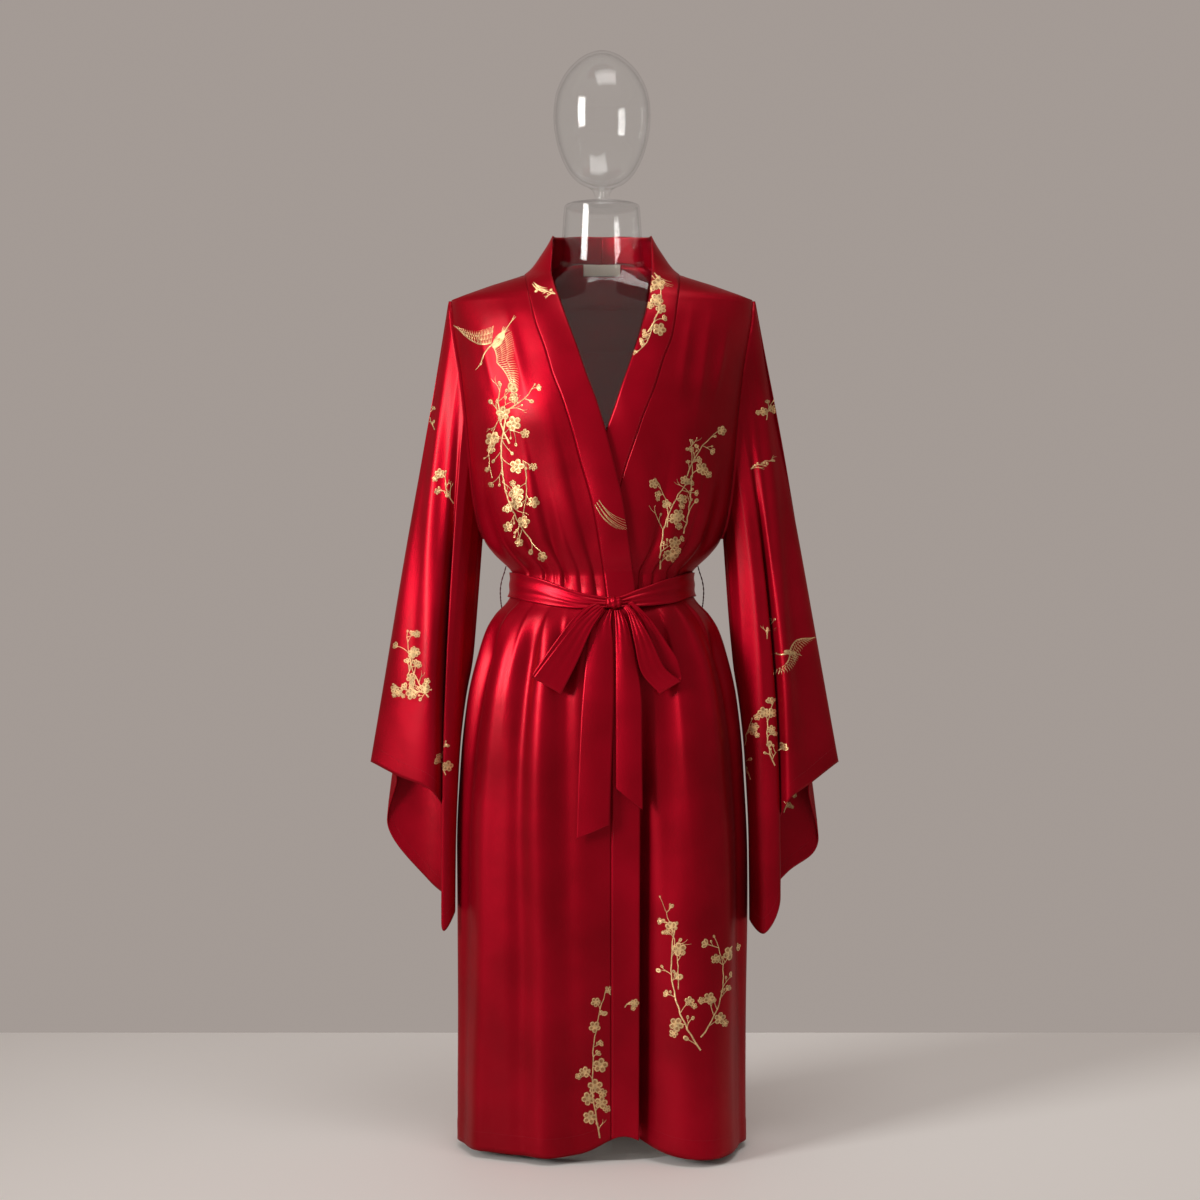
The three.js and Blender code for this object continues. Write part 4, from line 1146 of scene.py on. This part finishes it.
# %% [markdown]
# ## Gold embroidery
#
# Sprays of plum blossom and a few flying cranes are sewn on in gold thread. Such work lies on the
# satin as a thin raised layer, so each motif is first drawn flat, as small domed shapes, and is
# then laid on its panel: every point is sent straight at the cloth, and rests where it meets it,
# a little above the surface. The motifs are common ones, drawn by a few rules: a branch that
# bends, twigs to both sides of it, and a blossom of five petals, a bud or a fork at the end of each.

# %% Draw lines and petals flat, in millimetres
# how far the work lies above the satin, and how far a line of stitches rises above that
GOLD_LIFT = 0.25
RIDGE = 0.35


def add_shape(drawing, points, bright, dull=()):
    """Add points and faces to a drawing, some of the faces in bright and some in dull gold."""
    start = len(drawing.points)
    drawing.points += points
    drawing.faces += [tuple(start + i for i in face) for face in (*bright, *dull)]
    drawing.dim += [False] * len(bright) + [True] * len(dull)


def toward(place, turned, length):
    return place[0] + length * math.cos(turned), place[1] + length * math.sin(turned)


def heading(start, end):
    return math.atan2(end[1] - start[1], end[0] - start[0])


def bent(start, end, bend, count, rng=None, kink=0.0):
    """Points from start to end, bowed sideways by a share of the length, with small kinks."""
    (x0, z0), (x1, z1) = start, end
    length = math.hypot(x1 - x0, z1 - z0)
    side_x, side_z = -(z1 - z0), x1 - x0
    path = []
    for i in range(count + 1):
        t = i / count
        off = bend * 4 * t * (1 - t)
        if rng and 0 < i < count:
            off += rng.uniform(-kink, kink)
        path.append((mix(x0, x1, t) + side_x * off, mix(z0, z1, t) + side_z * off))
    return path


def stitch_line(drawing, path, width, end_width=0.5):
    """A raised line of stitches along a path, tapering to its far end."""
    points, faces = [], []
    last = len(path) - 1
    for i, (x, z) in enumerate(path):
        x0, z0 = path[max(i - 1, 0)]
        x1, z1 = path[min(i + 1, last)]
        length = math.hypot(x1 - x0, z1 - z0) or 1
        half = 0.5 * mix(width, width * end_width, i / last)
        side_x, side_z = -(z1 - z0) / length * half, (x1 - x0) / length * half
        points += [(x + side_x, z + side_z, 0), (x, z, RIDGE), (x - side_x, z - side_z, 0)]
        if i:
            a = 3 * i
            faces += [(a - 3, a - 2, a + 1, a), (a - 2, a - 1, a + 2, a + 1)]
    add_shape(drawing, points, faces)


def oval(drawing, middle, long, wide, turned, rim=0.55, sides=10, notch=0.0):
    """A petal: a bright raised rim of stitches round a dimmer, lower middle."""
    x, z = middle
    c, s = math.cos(turned), math.sin(turned)
    points, bright, dull = [], [], []
    for share, rise in ((1.0, 0.0), (mix(1, rim, 0.4), RIDGE), (rim, 0.12)):
        for k in range(sides):
            a = math.tau * k / sides
            reach = 1 - notch * max(math.cos(a), 0) ** 6
            px, pz = long * share * reach * math.cos(a), wide * share * math.sin(a)
            points.append((x + px * c - pz * s, z + px * s + pz * c, rise))
    points.append((x, z, 0.10))
    for k in range(sides):
        n = (k + 1) % sides
        bright += [(k, n, n + sides, k + sides), (k + sides, n + sides, n + 2 * sides, k + 2 * sides)]
        dull.append((k + 2 * sides, n + 2 * sides, 3 * sides))
    add_shape(drawing, points, bright, dull)


# %% Blossoms and buds, sized by the whole flower
def blossom(drawing, middle, size, turned):
    """An open plum blossom, five round petals about a centre with short stamens."""
    for k in range(5):
        a = turned + math.tau * k / 5
        oval(drawing, toward(middle, a, 0.56 * size), 0.44 * size, 0.38 * size, a, notch=0.12)
    for k in range(5):
        a = turned + math.tau * (k + 0.5) / 5
        stitch_line(drawing, bent(middle, toward(middle, a, 0.42 * size), 0, 2), 0.9, 1.2)
    oval(drawing, middle, 0.17 * size, 0.17 * size, 0, sides=6)


def half_open(drawing, middle, size, turned):
    """A blossom seen from the side: three petals in a cup, and the calyx under them."""
    for a in (turned - 0.75, turned + 0.75, turned):
        oval(drawing, toward(middle, a, 0.45 * size), 0.42 * size, 0.30 * size, a, sides=8)
    oval(drawing, middle, 0.22 * size, 0.18 * size, turned, sides=6)


def bud(drawing, middle, size, turned):
    oval(drawing, middle, 0.45 * size, 0.34 * size, turned, rim=0.4, sides=8)


# %% Draw a spray
def sprig(drawing, row):
    """A branch from root to tip with twigs to both sides, which end in flowers, buds or forks."""
    rng = random.Random(row.seed)
    length = math.dist(row.root, row.tip)
    count = max(6, int(length / 7))
    path = bent(row.root, row.tip, row.bend, count, rng, 0.9 / max(length, 1))
    stitch_line(drawing, path, row.width)
    size, spread, flowers = row.size, row.spread, row.flowers
    for k in range(flowers):
        t = (k + rng.uniform(0.35, 1.15)) / (flowers + 0.3)
        i = min(int(t * count), count - 1)
        side = 1 if (k + row.seed + (rng.random() < 0.25)) % 2 else -1
        turned = heading(path[i], path[i + 1]) + side * math.radians(rng.uniform(22, 68))
        reach = spread * rng.uniform(0.4, 1.25) * mix(1.0, 0.6, t)
        end = toward(path[i], turned, reach)
        twig = bent(path[i], end, side * rng.uniform(-0.16, 0.05), 4)
        stitch_line(drawing, twig, 1.1, 0.8)
        kind = rng.random()
        grown = size * rng.uniform(0.62, 1.2)
        if kind < 0.44:
            blossom(drawing, end, grown, rng.uniform(0, 1.2))
        elif kind < 0.64:
            half_open(drawing, end, grown, turned)
        elif kind < 0.8:
            bud(drawing, end, grown, turned)
        else:
            for lean in (-0.4, 0.25):
                away = (0.3 * spread + 0.4 * size) * rng.uniform(0.7, 1.2)
                point = toward(end, turned + lean, away)
                stitch_line(drawing, bent(end, point, 0.08 * side, 4), 0.8, 0.35)
        if kind < 0.2:
            near = toward(end, turned + side * rng.uniform(1.0, 1.9), 1.25 * grown)
            blossom(drawing, near, 0.62 * grown, rng.uniform(0, 1.2))
        for extra in range(rng.randint(0, 2)):
            off = turned - side * rng.uniform(0.5, 1.1)
            start = twig[2 - extra]
            stop = toward(start, off, reach * rng.uniform(0.35, 0.6))
            stitch_line(drawing, bent(start, stop, 0.06, 3), 0.9, 0.7)
            bud(drawing, stop, size * rng.uniform(0.45, 0.62), off)
    bud(drawing, row.tip, size * 0.55, heading(path[-2], row.tip))


# %% Draw a flying crane
def feather(drawing, base, turned, length, width):
    """One pointed stitch, a little bent, as long as the feather."""
    stitch_line(drawing, bent(base, toward(base, turned, length), 0.07, 4), width, 0.25)


def wing(drawing, root, wrist, tip, drop, rows):
    """Feathers fan from the bone in three rows, each row further from it."""
    bone = [root, *bent(root, wrist, 0.08, 3)[1:], *bent(wrist, tip, 0.06, 3)[1:]]
    stitch_line(drawing, bone, 1.8, 0.5)
    along = drop + (heading(root, tip) - drop + math.pi) % math.tau - math.pi
    reach = math.dist(root, tip)
    start = 0
    for row, length in enumerate(rows):
        count = int(reach / (2.7 - 0.3 * row))
        for k in range(count):
            t = k / (count - 1)
            place = min(t, 0.999) * (len(bone) - 1)
            i = int(place)
            base = tuple(mix(a, b, place - i) for a, b in zip(bone[i], bone[i + 1]))
            turned = mix(drop, along, 0.05 + 0.75 * t**1.6)
            base = toward(base, turned, start * mix(1.0, 0.35, t))
            feather(drawing, base, turned, length * mix(1.0, 0.75, t), 1.1)
        start += length * 0.9


def crane(drawing, row):
    """A body with five tail feathers and two legs, a bent neck with a head and beak, two wings."""
    body, head, size = row.body, row.head, row.size
    tail_x, tail_z = row.tail
    back = heading(body, row.tail)
    oval(drawing, body, 0.30 * size, 0.14 * size, back, rim=0.3, sides=14)
    for k in range(5):
        a = back + (k - 2) * 0.22
        feather(drawing, toward(body, back, 0.2 * size), a, 0.28 * size, 1.8)
    for k in (-1, 1):
        foot = (tail_x + k, tail_z - k)
        stitch_line(drawing, bent(toward(body, back, 0.24 * size), foot, 0.03 * k, 5), 1.0, 0.7)
    stitch_line(drawing, bent(body, head, row.neck, 8), 2.6, 0.5)
    facing = heading(body, head)
    oval(drawing, head, 2.6, 1.8, facing, rim=0.3, sides=8)
    beak = toward(head, facing + row.beak, 0.26 * size)
    stitch_line(drawing, bent(head, beak, 0, 3), 1.3, 0.3)
    for root, wrist, tip, drop, deep in (row.wing_one, row.wing_two):
        wing(drawing, root, wrist, tip, math.radians(drop), (0.30 * deep, 0.33 * deep, 0.37 * deep))


def plume(drawing, row):
    """Long single feathers side by side, all bent the same way."""
    (x0, z0), (x1, z1) = row.start, row.stop
    length = math.dist(row.start, row.stop)
    side_x, side_z = (z1 - z0) / length, -(x1 - x0) / length
    for k in range(row.lines):
        off = row.spread * (k / (row.lines - 1) - 0.5)
        begin, end = mix(0, 0.18, k % 3 / 2), mix(1, 0.72, abs(off) / row.spread * 1.4)
        path = [
            (mix(x0, x1, t) + side_x * off * fan, mix(z0, z1, t) + side_z * off * fan)
            for t, fan in ((begin, 0.6), (end, 1))
        ]
        stitch_line(drawing, bent(path[0], path[1], -0.10, 7), 1.0, 0.35)


# %% Where the sprays and the cranes are
# places are x and z in millimetres. flowers: how many twigs a branch has. spread: how long they
# are. size: of a whole flower. seed: of the random draws. width: of the branch at its root
SPRAY = "root tip bend flowers spread size seed width"
# each wing: where it leaves the body, its wrist, its tip, where the feathers at the body point, in
# degrees, and how deep the wing is there
CRANE = "body head tail size neck beak wing_one wing_two"
PLUME = "start stop lines spread"
FRONT = dict(
    satin_front_right=table(
        SPRAY,
        ((-122, 948), (-134, 1026), 0.10, 7, 27, 10.5, 3, 2.6),
        ((-128, 990), (-88, 1024), -0.08, 4, 17, 7, 6, 2.0),
        ((-126, 985), (-76, 800), -0.14, 12, 27, 9.5, 12, 2.4),
        ((-104, 925), (-116, 826), 0.10, 6, 20, 8.5, 23, 1.6),
        ((-132, 985), (-146, 905), -0.12, 4, 11, 5, 31, 1.2),
        ((-3, 34), (6, 232), 0.07, 13, 15, 9, 4, 2.0),
    ),
    satin_front_left=table(
        SPRAY,
        ((77, 783), (118, 905), 0.10, 9, 26, 8.5, 8, 2.0),
        ((108, 830), (116, 952), -0.05, 8, 20, 7.5, 15, 1.8),
        ((112, 905), (160, 972), 0.08, 6, 15, 6.5, 19, 1.6),
        ((86, 838), (70, 900), -0.10, 4, 15, 7.5, 26, 1.4),
        ((129, 153), (98, 318), 0.12, 10, 27, 10.5, 9, 2.2),
        ((129, 170), (147, 300), -0.16, 8, 22, 8.5, 14, 1.8),
        ((100, 232), (76, 352), -0.06, 5, 14, 6.5, 29, 1.3),
    ),
    satin_neckband_right=table(
        SPRAY,
        ((-56, 1148), (-86, 1158), 0.1, 4, 8, 5, 2, 1.3),
        ((30, 206), (42, 214), 0.1, 2, 10, 5, 5, 1.3),
    ),
    satin_neckband_left=table(
        SPRAY,
        ((60, 1094), (76, 1172), -0.10, 7, 15, 9.5, 7, 2.0),
        ((66, 1100), (42, 1064), 0.1, 4, 9, 6, 11, 1.3),
    ),
    satin_sleeve_right=table(
        SPRAY,
        ((-232, 612), (-262, 700), 0.10, 10, 22, 8.5, 10, 1.8),
        ((-228, 622), (-282, 628), 0.10, 9, 15, 7.5, 16, 1.8),
        ((-262, 640), (-256, 676), -0.1, 5, 14, 6.5, 33, 1.3),
        ((-200, 872), (-210, 915), 0.1, 5, 15, 7, 17, 1.5),
        ((-226, 972), (-234, 1010), 0.1, 4, 10, 6.5, 18, 1.4),
        ((-210, 507), (-210, 552), 0.1, 4, 9, 6.5, 20, 1.4),
    ),
    satin_sleeve_left=table(
        SPRAY,
        ((222, 985), (236, 1016), 0.1, 4, 10, 7.5, 21, 1.5),
        ((200, 918), (232, 930), 0.1, 4, 12, 7, 22, 1.4),
        ((232, 520), (232, 608), 0.12, 8, 17, 8.5, 24, 1.8),
        ((200, 500), (202, 582), 0.1, 6, 13, 7, 25, 1.6),
        ((222, 690), (232, 716), 0.1, 3, 10, 7, 27, 1.4),
        ((250, 450), (268, 480), 0.1, 4, 10, 6, 28, 1.3),
    ),
)
CRANES = dict(
    satin_front_right=table(
        CRANE,
        ((-137, 1086), (-161, 1056), (-115, 1118), 42, -0.12, -0.1,
         ((-147, 1083), (-165, 1083), (-193, 1107), 78, 25),
         ((-144, 1078), (-139, 1056), (-121, 1029), 42, 33)),
    ),
    satin_sleeve_left=table(
        CRANE,
        ((250, 672), (233, 670), (268, 668), 22, 0.12, 0.1,
         ((252, 671), (247, 657), (232, 648), -20, 15),
         ((252, 674), (262, 688), (281, 690), -70, 20)),
    ),
)
# a few long feathers alone, from one place to another, and how far they spread
PLUMES = dict(
    satin_neckband_right=table(
        PLUME,
        ((-7, 869), (33, 834), 8, 15), ((-92, 1163), (-70, 1150), 5, 7),
    ),
    satin_neckband_left=table(
        PLUME,
        ((68, 1176), (96, 1158), 4, 9),
    ),
)
# hidden from the front: the back and the backs of the sleeves carry similar sprays
BEHIND = dict(
    satin_back=table(
        SPRAY,
        ((-60, 900), (52, 1082), 0.12, 15, 34, 11, 40, 2.8),
        ((-30, 948), (-96, 1062), -0.10, 8, 24, 9, 41, 2.0),
        ((96, 150), (70, 390), 0.12, 13, 30, 10.5, 42, 2.4),
        ((92, 190), (136, 330), -0.10, 8, 22, 8.5, 43, 1.8),
        ((-120, 60), (-108, 210), -0.08, 8, 20, 9, 44, 1.8),
    ),
    satin_sleeve_right=table(
        SPRAY,
        ((-254, 600), (-242, 720), -0.08, 9, 22, 9.5, 45, 2.0),
    ),
    satin_sleeve_left=table(
        SPRAY,
        ((252, 590), (240, 710), 0.08, 9, 22, 9.5, 46, 2.0),
    ),
)
BACK_CRANES = dict(
    satin_back=table(
        CRANE,
        ((60, 980), (102, 1008), (24, 956), 52, 0.12, 0.1,
         ((64, 986), (62, 1018), (38, 1054), 185, 34),
         ((68, 978), (92, 966), (124, 932), 215, 34)),
    ),
)

# %% Gold thread
def gold_material(name, colour, rough):
    material, nodes, shader = new_material(name)
    place = add_node(nodes, "TexCoord").outputs["Object"]
    threads = add_node(nodes, "TexWave", place, "Vector", Scale=900, Distortion=1.5)
    threads.bands_direction = "DIAGONAL"
    dark = tuple(0.62 * x for x in colour)
    colour_by(nodes, shader, noise(nodes, place, 160), dark, colour)
    raise_by(nodes, shader, threads.outputs["Fac"], 0.5, 0.0003)
    put(shader, Metallic=0.8, Roughness=rough)
    return material


gold = gold_material("gold thread", (0.86, 0.60, 0.30), 0.36)
old_gold = gold_material("dim gold thread", (0.50, 0.26, 0.11), 0.45)

# %% [markdown]
# ## Lay the drawing on the cloth
#
# A point that misses its panel, or lands round the far side of a deep fold, would pull a motif
# apart, so a face is only kept where its corners lie about as far apart on the cloth as they do in
# the drawing.

# %% Drape the motifs
bpy.context.view_layer.update()
graph = bpy.context.evaluated_depsgraph_get()
# how much longer than drawn an edge may become, and how much is allowed beside that, in metres
STRETCH = 2.2
SLACK = 0.0004


def stays_whole(face, drawing, placed):
    """True where every corner met the cloth and no edge is much longer than it was drawn."""
    if any(placed[i] is None for i in face):
        return False
    for i, j in zip(face, face[1:] + face[:1]):
        flat = math.dist(drawing.points[i], drawing.points[j]) * MM
        if (placed[i] - placed[j]).length > STRETCH * flat + SLACK:
            return False
    return True


def lay_on(name, drawing, piece, from_side):
    """Send every point of a flat drawing at the cloth, along +Y (1) or -Y (-1)."""
    tree = BVHTree.FromObject(piece, graph)
    placed = []
    for x, z, rise in drawing.points:
        start = Vector((x * MM, -0.5 * from_side, z * MM))
        hit, normal, *_ = tree.ray_cast(start, Vector((0, from_side, 0)))
        if hit:
            outward = normal if normal.y * from_side < 0 else -normal
            hit = hit + outward * (rise + GOLD_LIFT) * MM
        placed.append(hit)
    bm = bmesh.new()
    verts = [place and bm.verts.new(place) for place in placed]
    for face, dim in zip(drawing.faces, drawing.dim):
        if stays_whole(face, drawing, placed):
            bm.faces.new([verts[i] for i in face]).material_index = int(dim)
    loose = [vert for vert in bm.verts if not vert.link_faces]
    bmesh.ops.delete(bm, geom=loose, context="VERTS")
    for face in bm.faces:
        face.normal_update()
        if face.normal.y * from_side > 0:
            face.normal_flip()
    sewn = finish_mesh(bm, name, gold)
    sewn.data.materials.append(old_gold)
    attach(sewn, "root")
    return sewn


for ending, from_side, sprays, birds, feathers in (
    ("", 1, FRONT, CRANES, PLUMES),
    ("_behind", -1, BEHIND, BACK_CRANES, {}),
):
    for sheet in SHEETS:
        piece = sheet.piece
        if piece.name not in sprays:
            continue
        drawing = Named(points=[], faces=[], dim=[])
        for draw, rows in ((sprig, sprays), (crane, birds), (plume, feathers)):
            for row in rows.get(piece.name, []):
                draw(drawing, row)
        name = piece.name.replace("satin", "gold") + ending
        sheet.on_it.append(lay_on(name, drawing, piece, from_side))

# %% [markdown]
# ## Rows of stitches
#
# The hem, the ends of the sleeves and the seam of the neckband are sewn with a machine, whose
# thread shows as a row of short stitches on both faces of the cloth. A stitch is a grain of
# thread: thick in its middle and pointed at both ends, where it dives into the cloth.

# %% Sew the rows of stitches
STITCH = Named(long=2.4, gap=0.9, half=0.24, high=0.22, off=0.05)
# the share across the cut piece at which the row lies; rows of the neckband run the long way,
# beside its seam
STITCHED = dict(
    satin_front_right=0.0214, satin_front_left=0.0214, satin_back=0.0213, satin_neckband_right=0.07,
    satin_neckband_left=0.07, satin_sleeve_right=0.966, satin_sleeve_left=0.966,
)
red_thread, nodes, shader = new_material("red sewing thread")
put(shader, Base_Color=(0.27, 0.003, 0.010, 1), Roughness=0.45)


def stitch_places(surface, along):
    """Starts, ends and face directions of the stitches of a row, in millimetres."""
    u = np.linspace(0.002, 0.998, 4000)
    v = np.full(u.shape, along)
    line = surface(u, v)
    across = surface(u, v + 0.004) - line
    forward = np.gradient(line, axis=0)
    face = np.cross(forward, across)
    face /= np.linalg.norm(face, axis=1)[:, None]
    walked = np.concatenate([[0], np.cumsum(np.linalg.norm(np.diff(line, axis=0), axis=1))])
    starts = np.arange(1, walked[-1] - STITCH.long, STITCH.long + STITCH.gap)

    def read(columns, places):
        return np.stack([np.interp(places, walked, column) for column in columns.T], axis=1)

    return (*[read(line, starts + part * STITCH.long) for part in (0, 0.5, 1)], read(face, starts))


for sheet in SHEETS:
    piece = sheet.piece
    if piece.name not in STITCHED:
        continue
    wall = piece.modifiers["wall"].thickness / MM
    start, middle, end, normal = stitch_places(sheet.surface, STITCHED[piece.name])
    side = np.cross(end - start, normal)
    side *= STITCH.half / np.linalg.norm(side, axis=1)[:, None]
    bm = bmesh.new()
    for face_side in (1, -1):
        lift = normal * face_side * (wall / 2 + STITCH.off)
        top = lift + normal * face_side * STITCH.high
        corners = [start + lift, end + lift, middle + lift + side, middle + lift - side, middle + top]
        for grain in np.stack(corners, axis=1) * MM:
            a, b, left, right, high = [bm.verts.new(place) for place in grain]
            for one, two in ((a, left), (left, b), (b, right), (right, a)):
                bm.faces.new((one, two, high))
            bm.faces.new((a, right, b, left))
    bmesh.ops.recalc_face_normals(bm, faces=bm.faces)
    row_piece = finish_mesh(bm, piece.name.replace("satin", "stitches"), red_thread)
    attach(row_piece, "root")
    sheet.on_it.append(row_piece)

# %% [markdown]
# ## Sheets of cloth
#
# Each piece keeps a note of how it was cut, as a flat width and length, and of what it hangs from.

# %% [markdown]
# ## A pale room
#
# The robe stands on a plain pale floor. The floor ends a little way behind it, where a wall would
# begin, and an even, pale surrounding takes the place of the wall, so that the robe can be looked
# at from all sides.

# %% Floor and surroundings
FLOOR_HALF = 5.0
FLOOR_BACK = 0.75
SURROUNDINGS = (0.37, 0.325, 0.30)

floor_paint, nodes, shader = new_material("floor paint")
put(shader, Base_Color=(0.88, 0.865, 0.845, 1), Roughness=0.6)
floor_mesh = bpy.data.meshes.new("floor")
near, far = -FLOOR_HALF, FLOOR_BACK
corners = [(-FLOOR_HALF, near, 0), (FLOOR_HALF, near, 0), (FLOOR_HALF, far, 0), (-FLOOR_HALF, far, 0)]
floor_mesh.from_pydata(corners, [], [(0, 1, 2, 3)])
floor_mesh.materials.append(floor_paint)
new_object("floor", floor_mesh)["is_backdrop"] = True
world = bpy.data.worlds.new("surroundings")
world.use_nodes = True
put(world.node_tree.nodes["Background"], Color=(*SURROUNDINGS, 1))
bpy.context.scene.world = world

# %% [markdown]
# ## Light and camera
#
# A tall window-like light stands to the upper left in front of the robe, with its beam held to the
# chest, and a soft one hangs above. So the folds on the left shine, those on the right sink into
# deep red, and the shadow falls to the right.

# %% Set the lights
def area_light(name, place, aim, size, power, tint, spread=180):
    data = bpy.data.lights.new(name, "AREA")
    data.spread = math.radians(spread)
    data.shape = "RECTANGLE"
    data.size, data.size_y = size
    data.energy = power
    data.color = tint
    lamp = new_object(name, data)
    lamp.location = place
    lamp.rotation_euler = (Vector(aim) - Vector(place)).to_track_quat("-Z", "Y").to_euler()
    lamp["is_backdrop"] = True


area_light("window", (-2.75, -2.3, 1.9), (0.15, 0.1, 1.35), (1.1, 1.9), 21.5, (1.0, 0.975, 0.95), 58)
area_light("above", (0.3, -1.1, 3.2), (0, 0, 0.6), (1.5, 1.0), 20, (1.0, 0.98, 0.96))

# %% Set the camera
CAMERA_HEIGHT = 0.742
CAMERA_AWAY = 2.872
camera_data = bpy.data.cameras.new("camera")
camera_data.lens = 63.36
camera_data.sensor_width = 36
camera = new_object("camera", camera_data)
camera.location = (-0.0027, -CAMERA_AWAY, CAMERA_HEIGHT)
camera.rotation_euler = (math.radians(90), 0, 0)
camera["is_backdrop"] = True
bpy.context.scene.camera = camera
bpy.context.scene.view_settings.view_transform = "Standard"

# %% Compare the sizes and finish
low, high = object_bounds()
sizes = [[round(x, 4) for x in size] for size in (high - low, cad_high - cad_low)]
print("shown", sizes[0], "against", sizes[1])
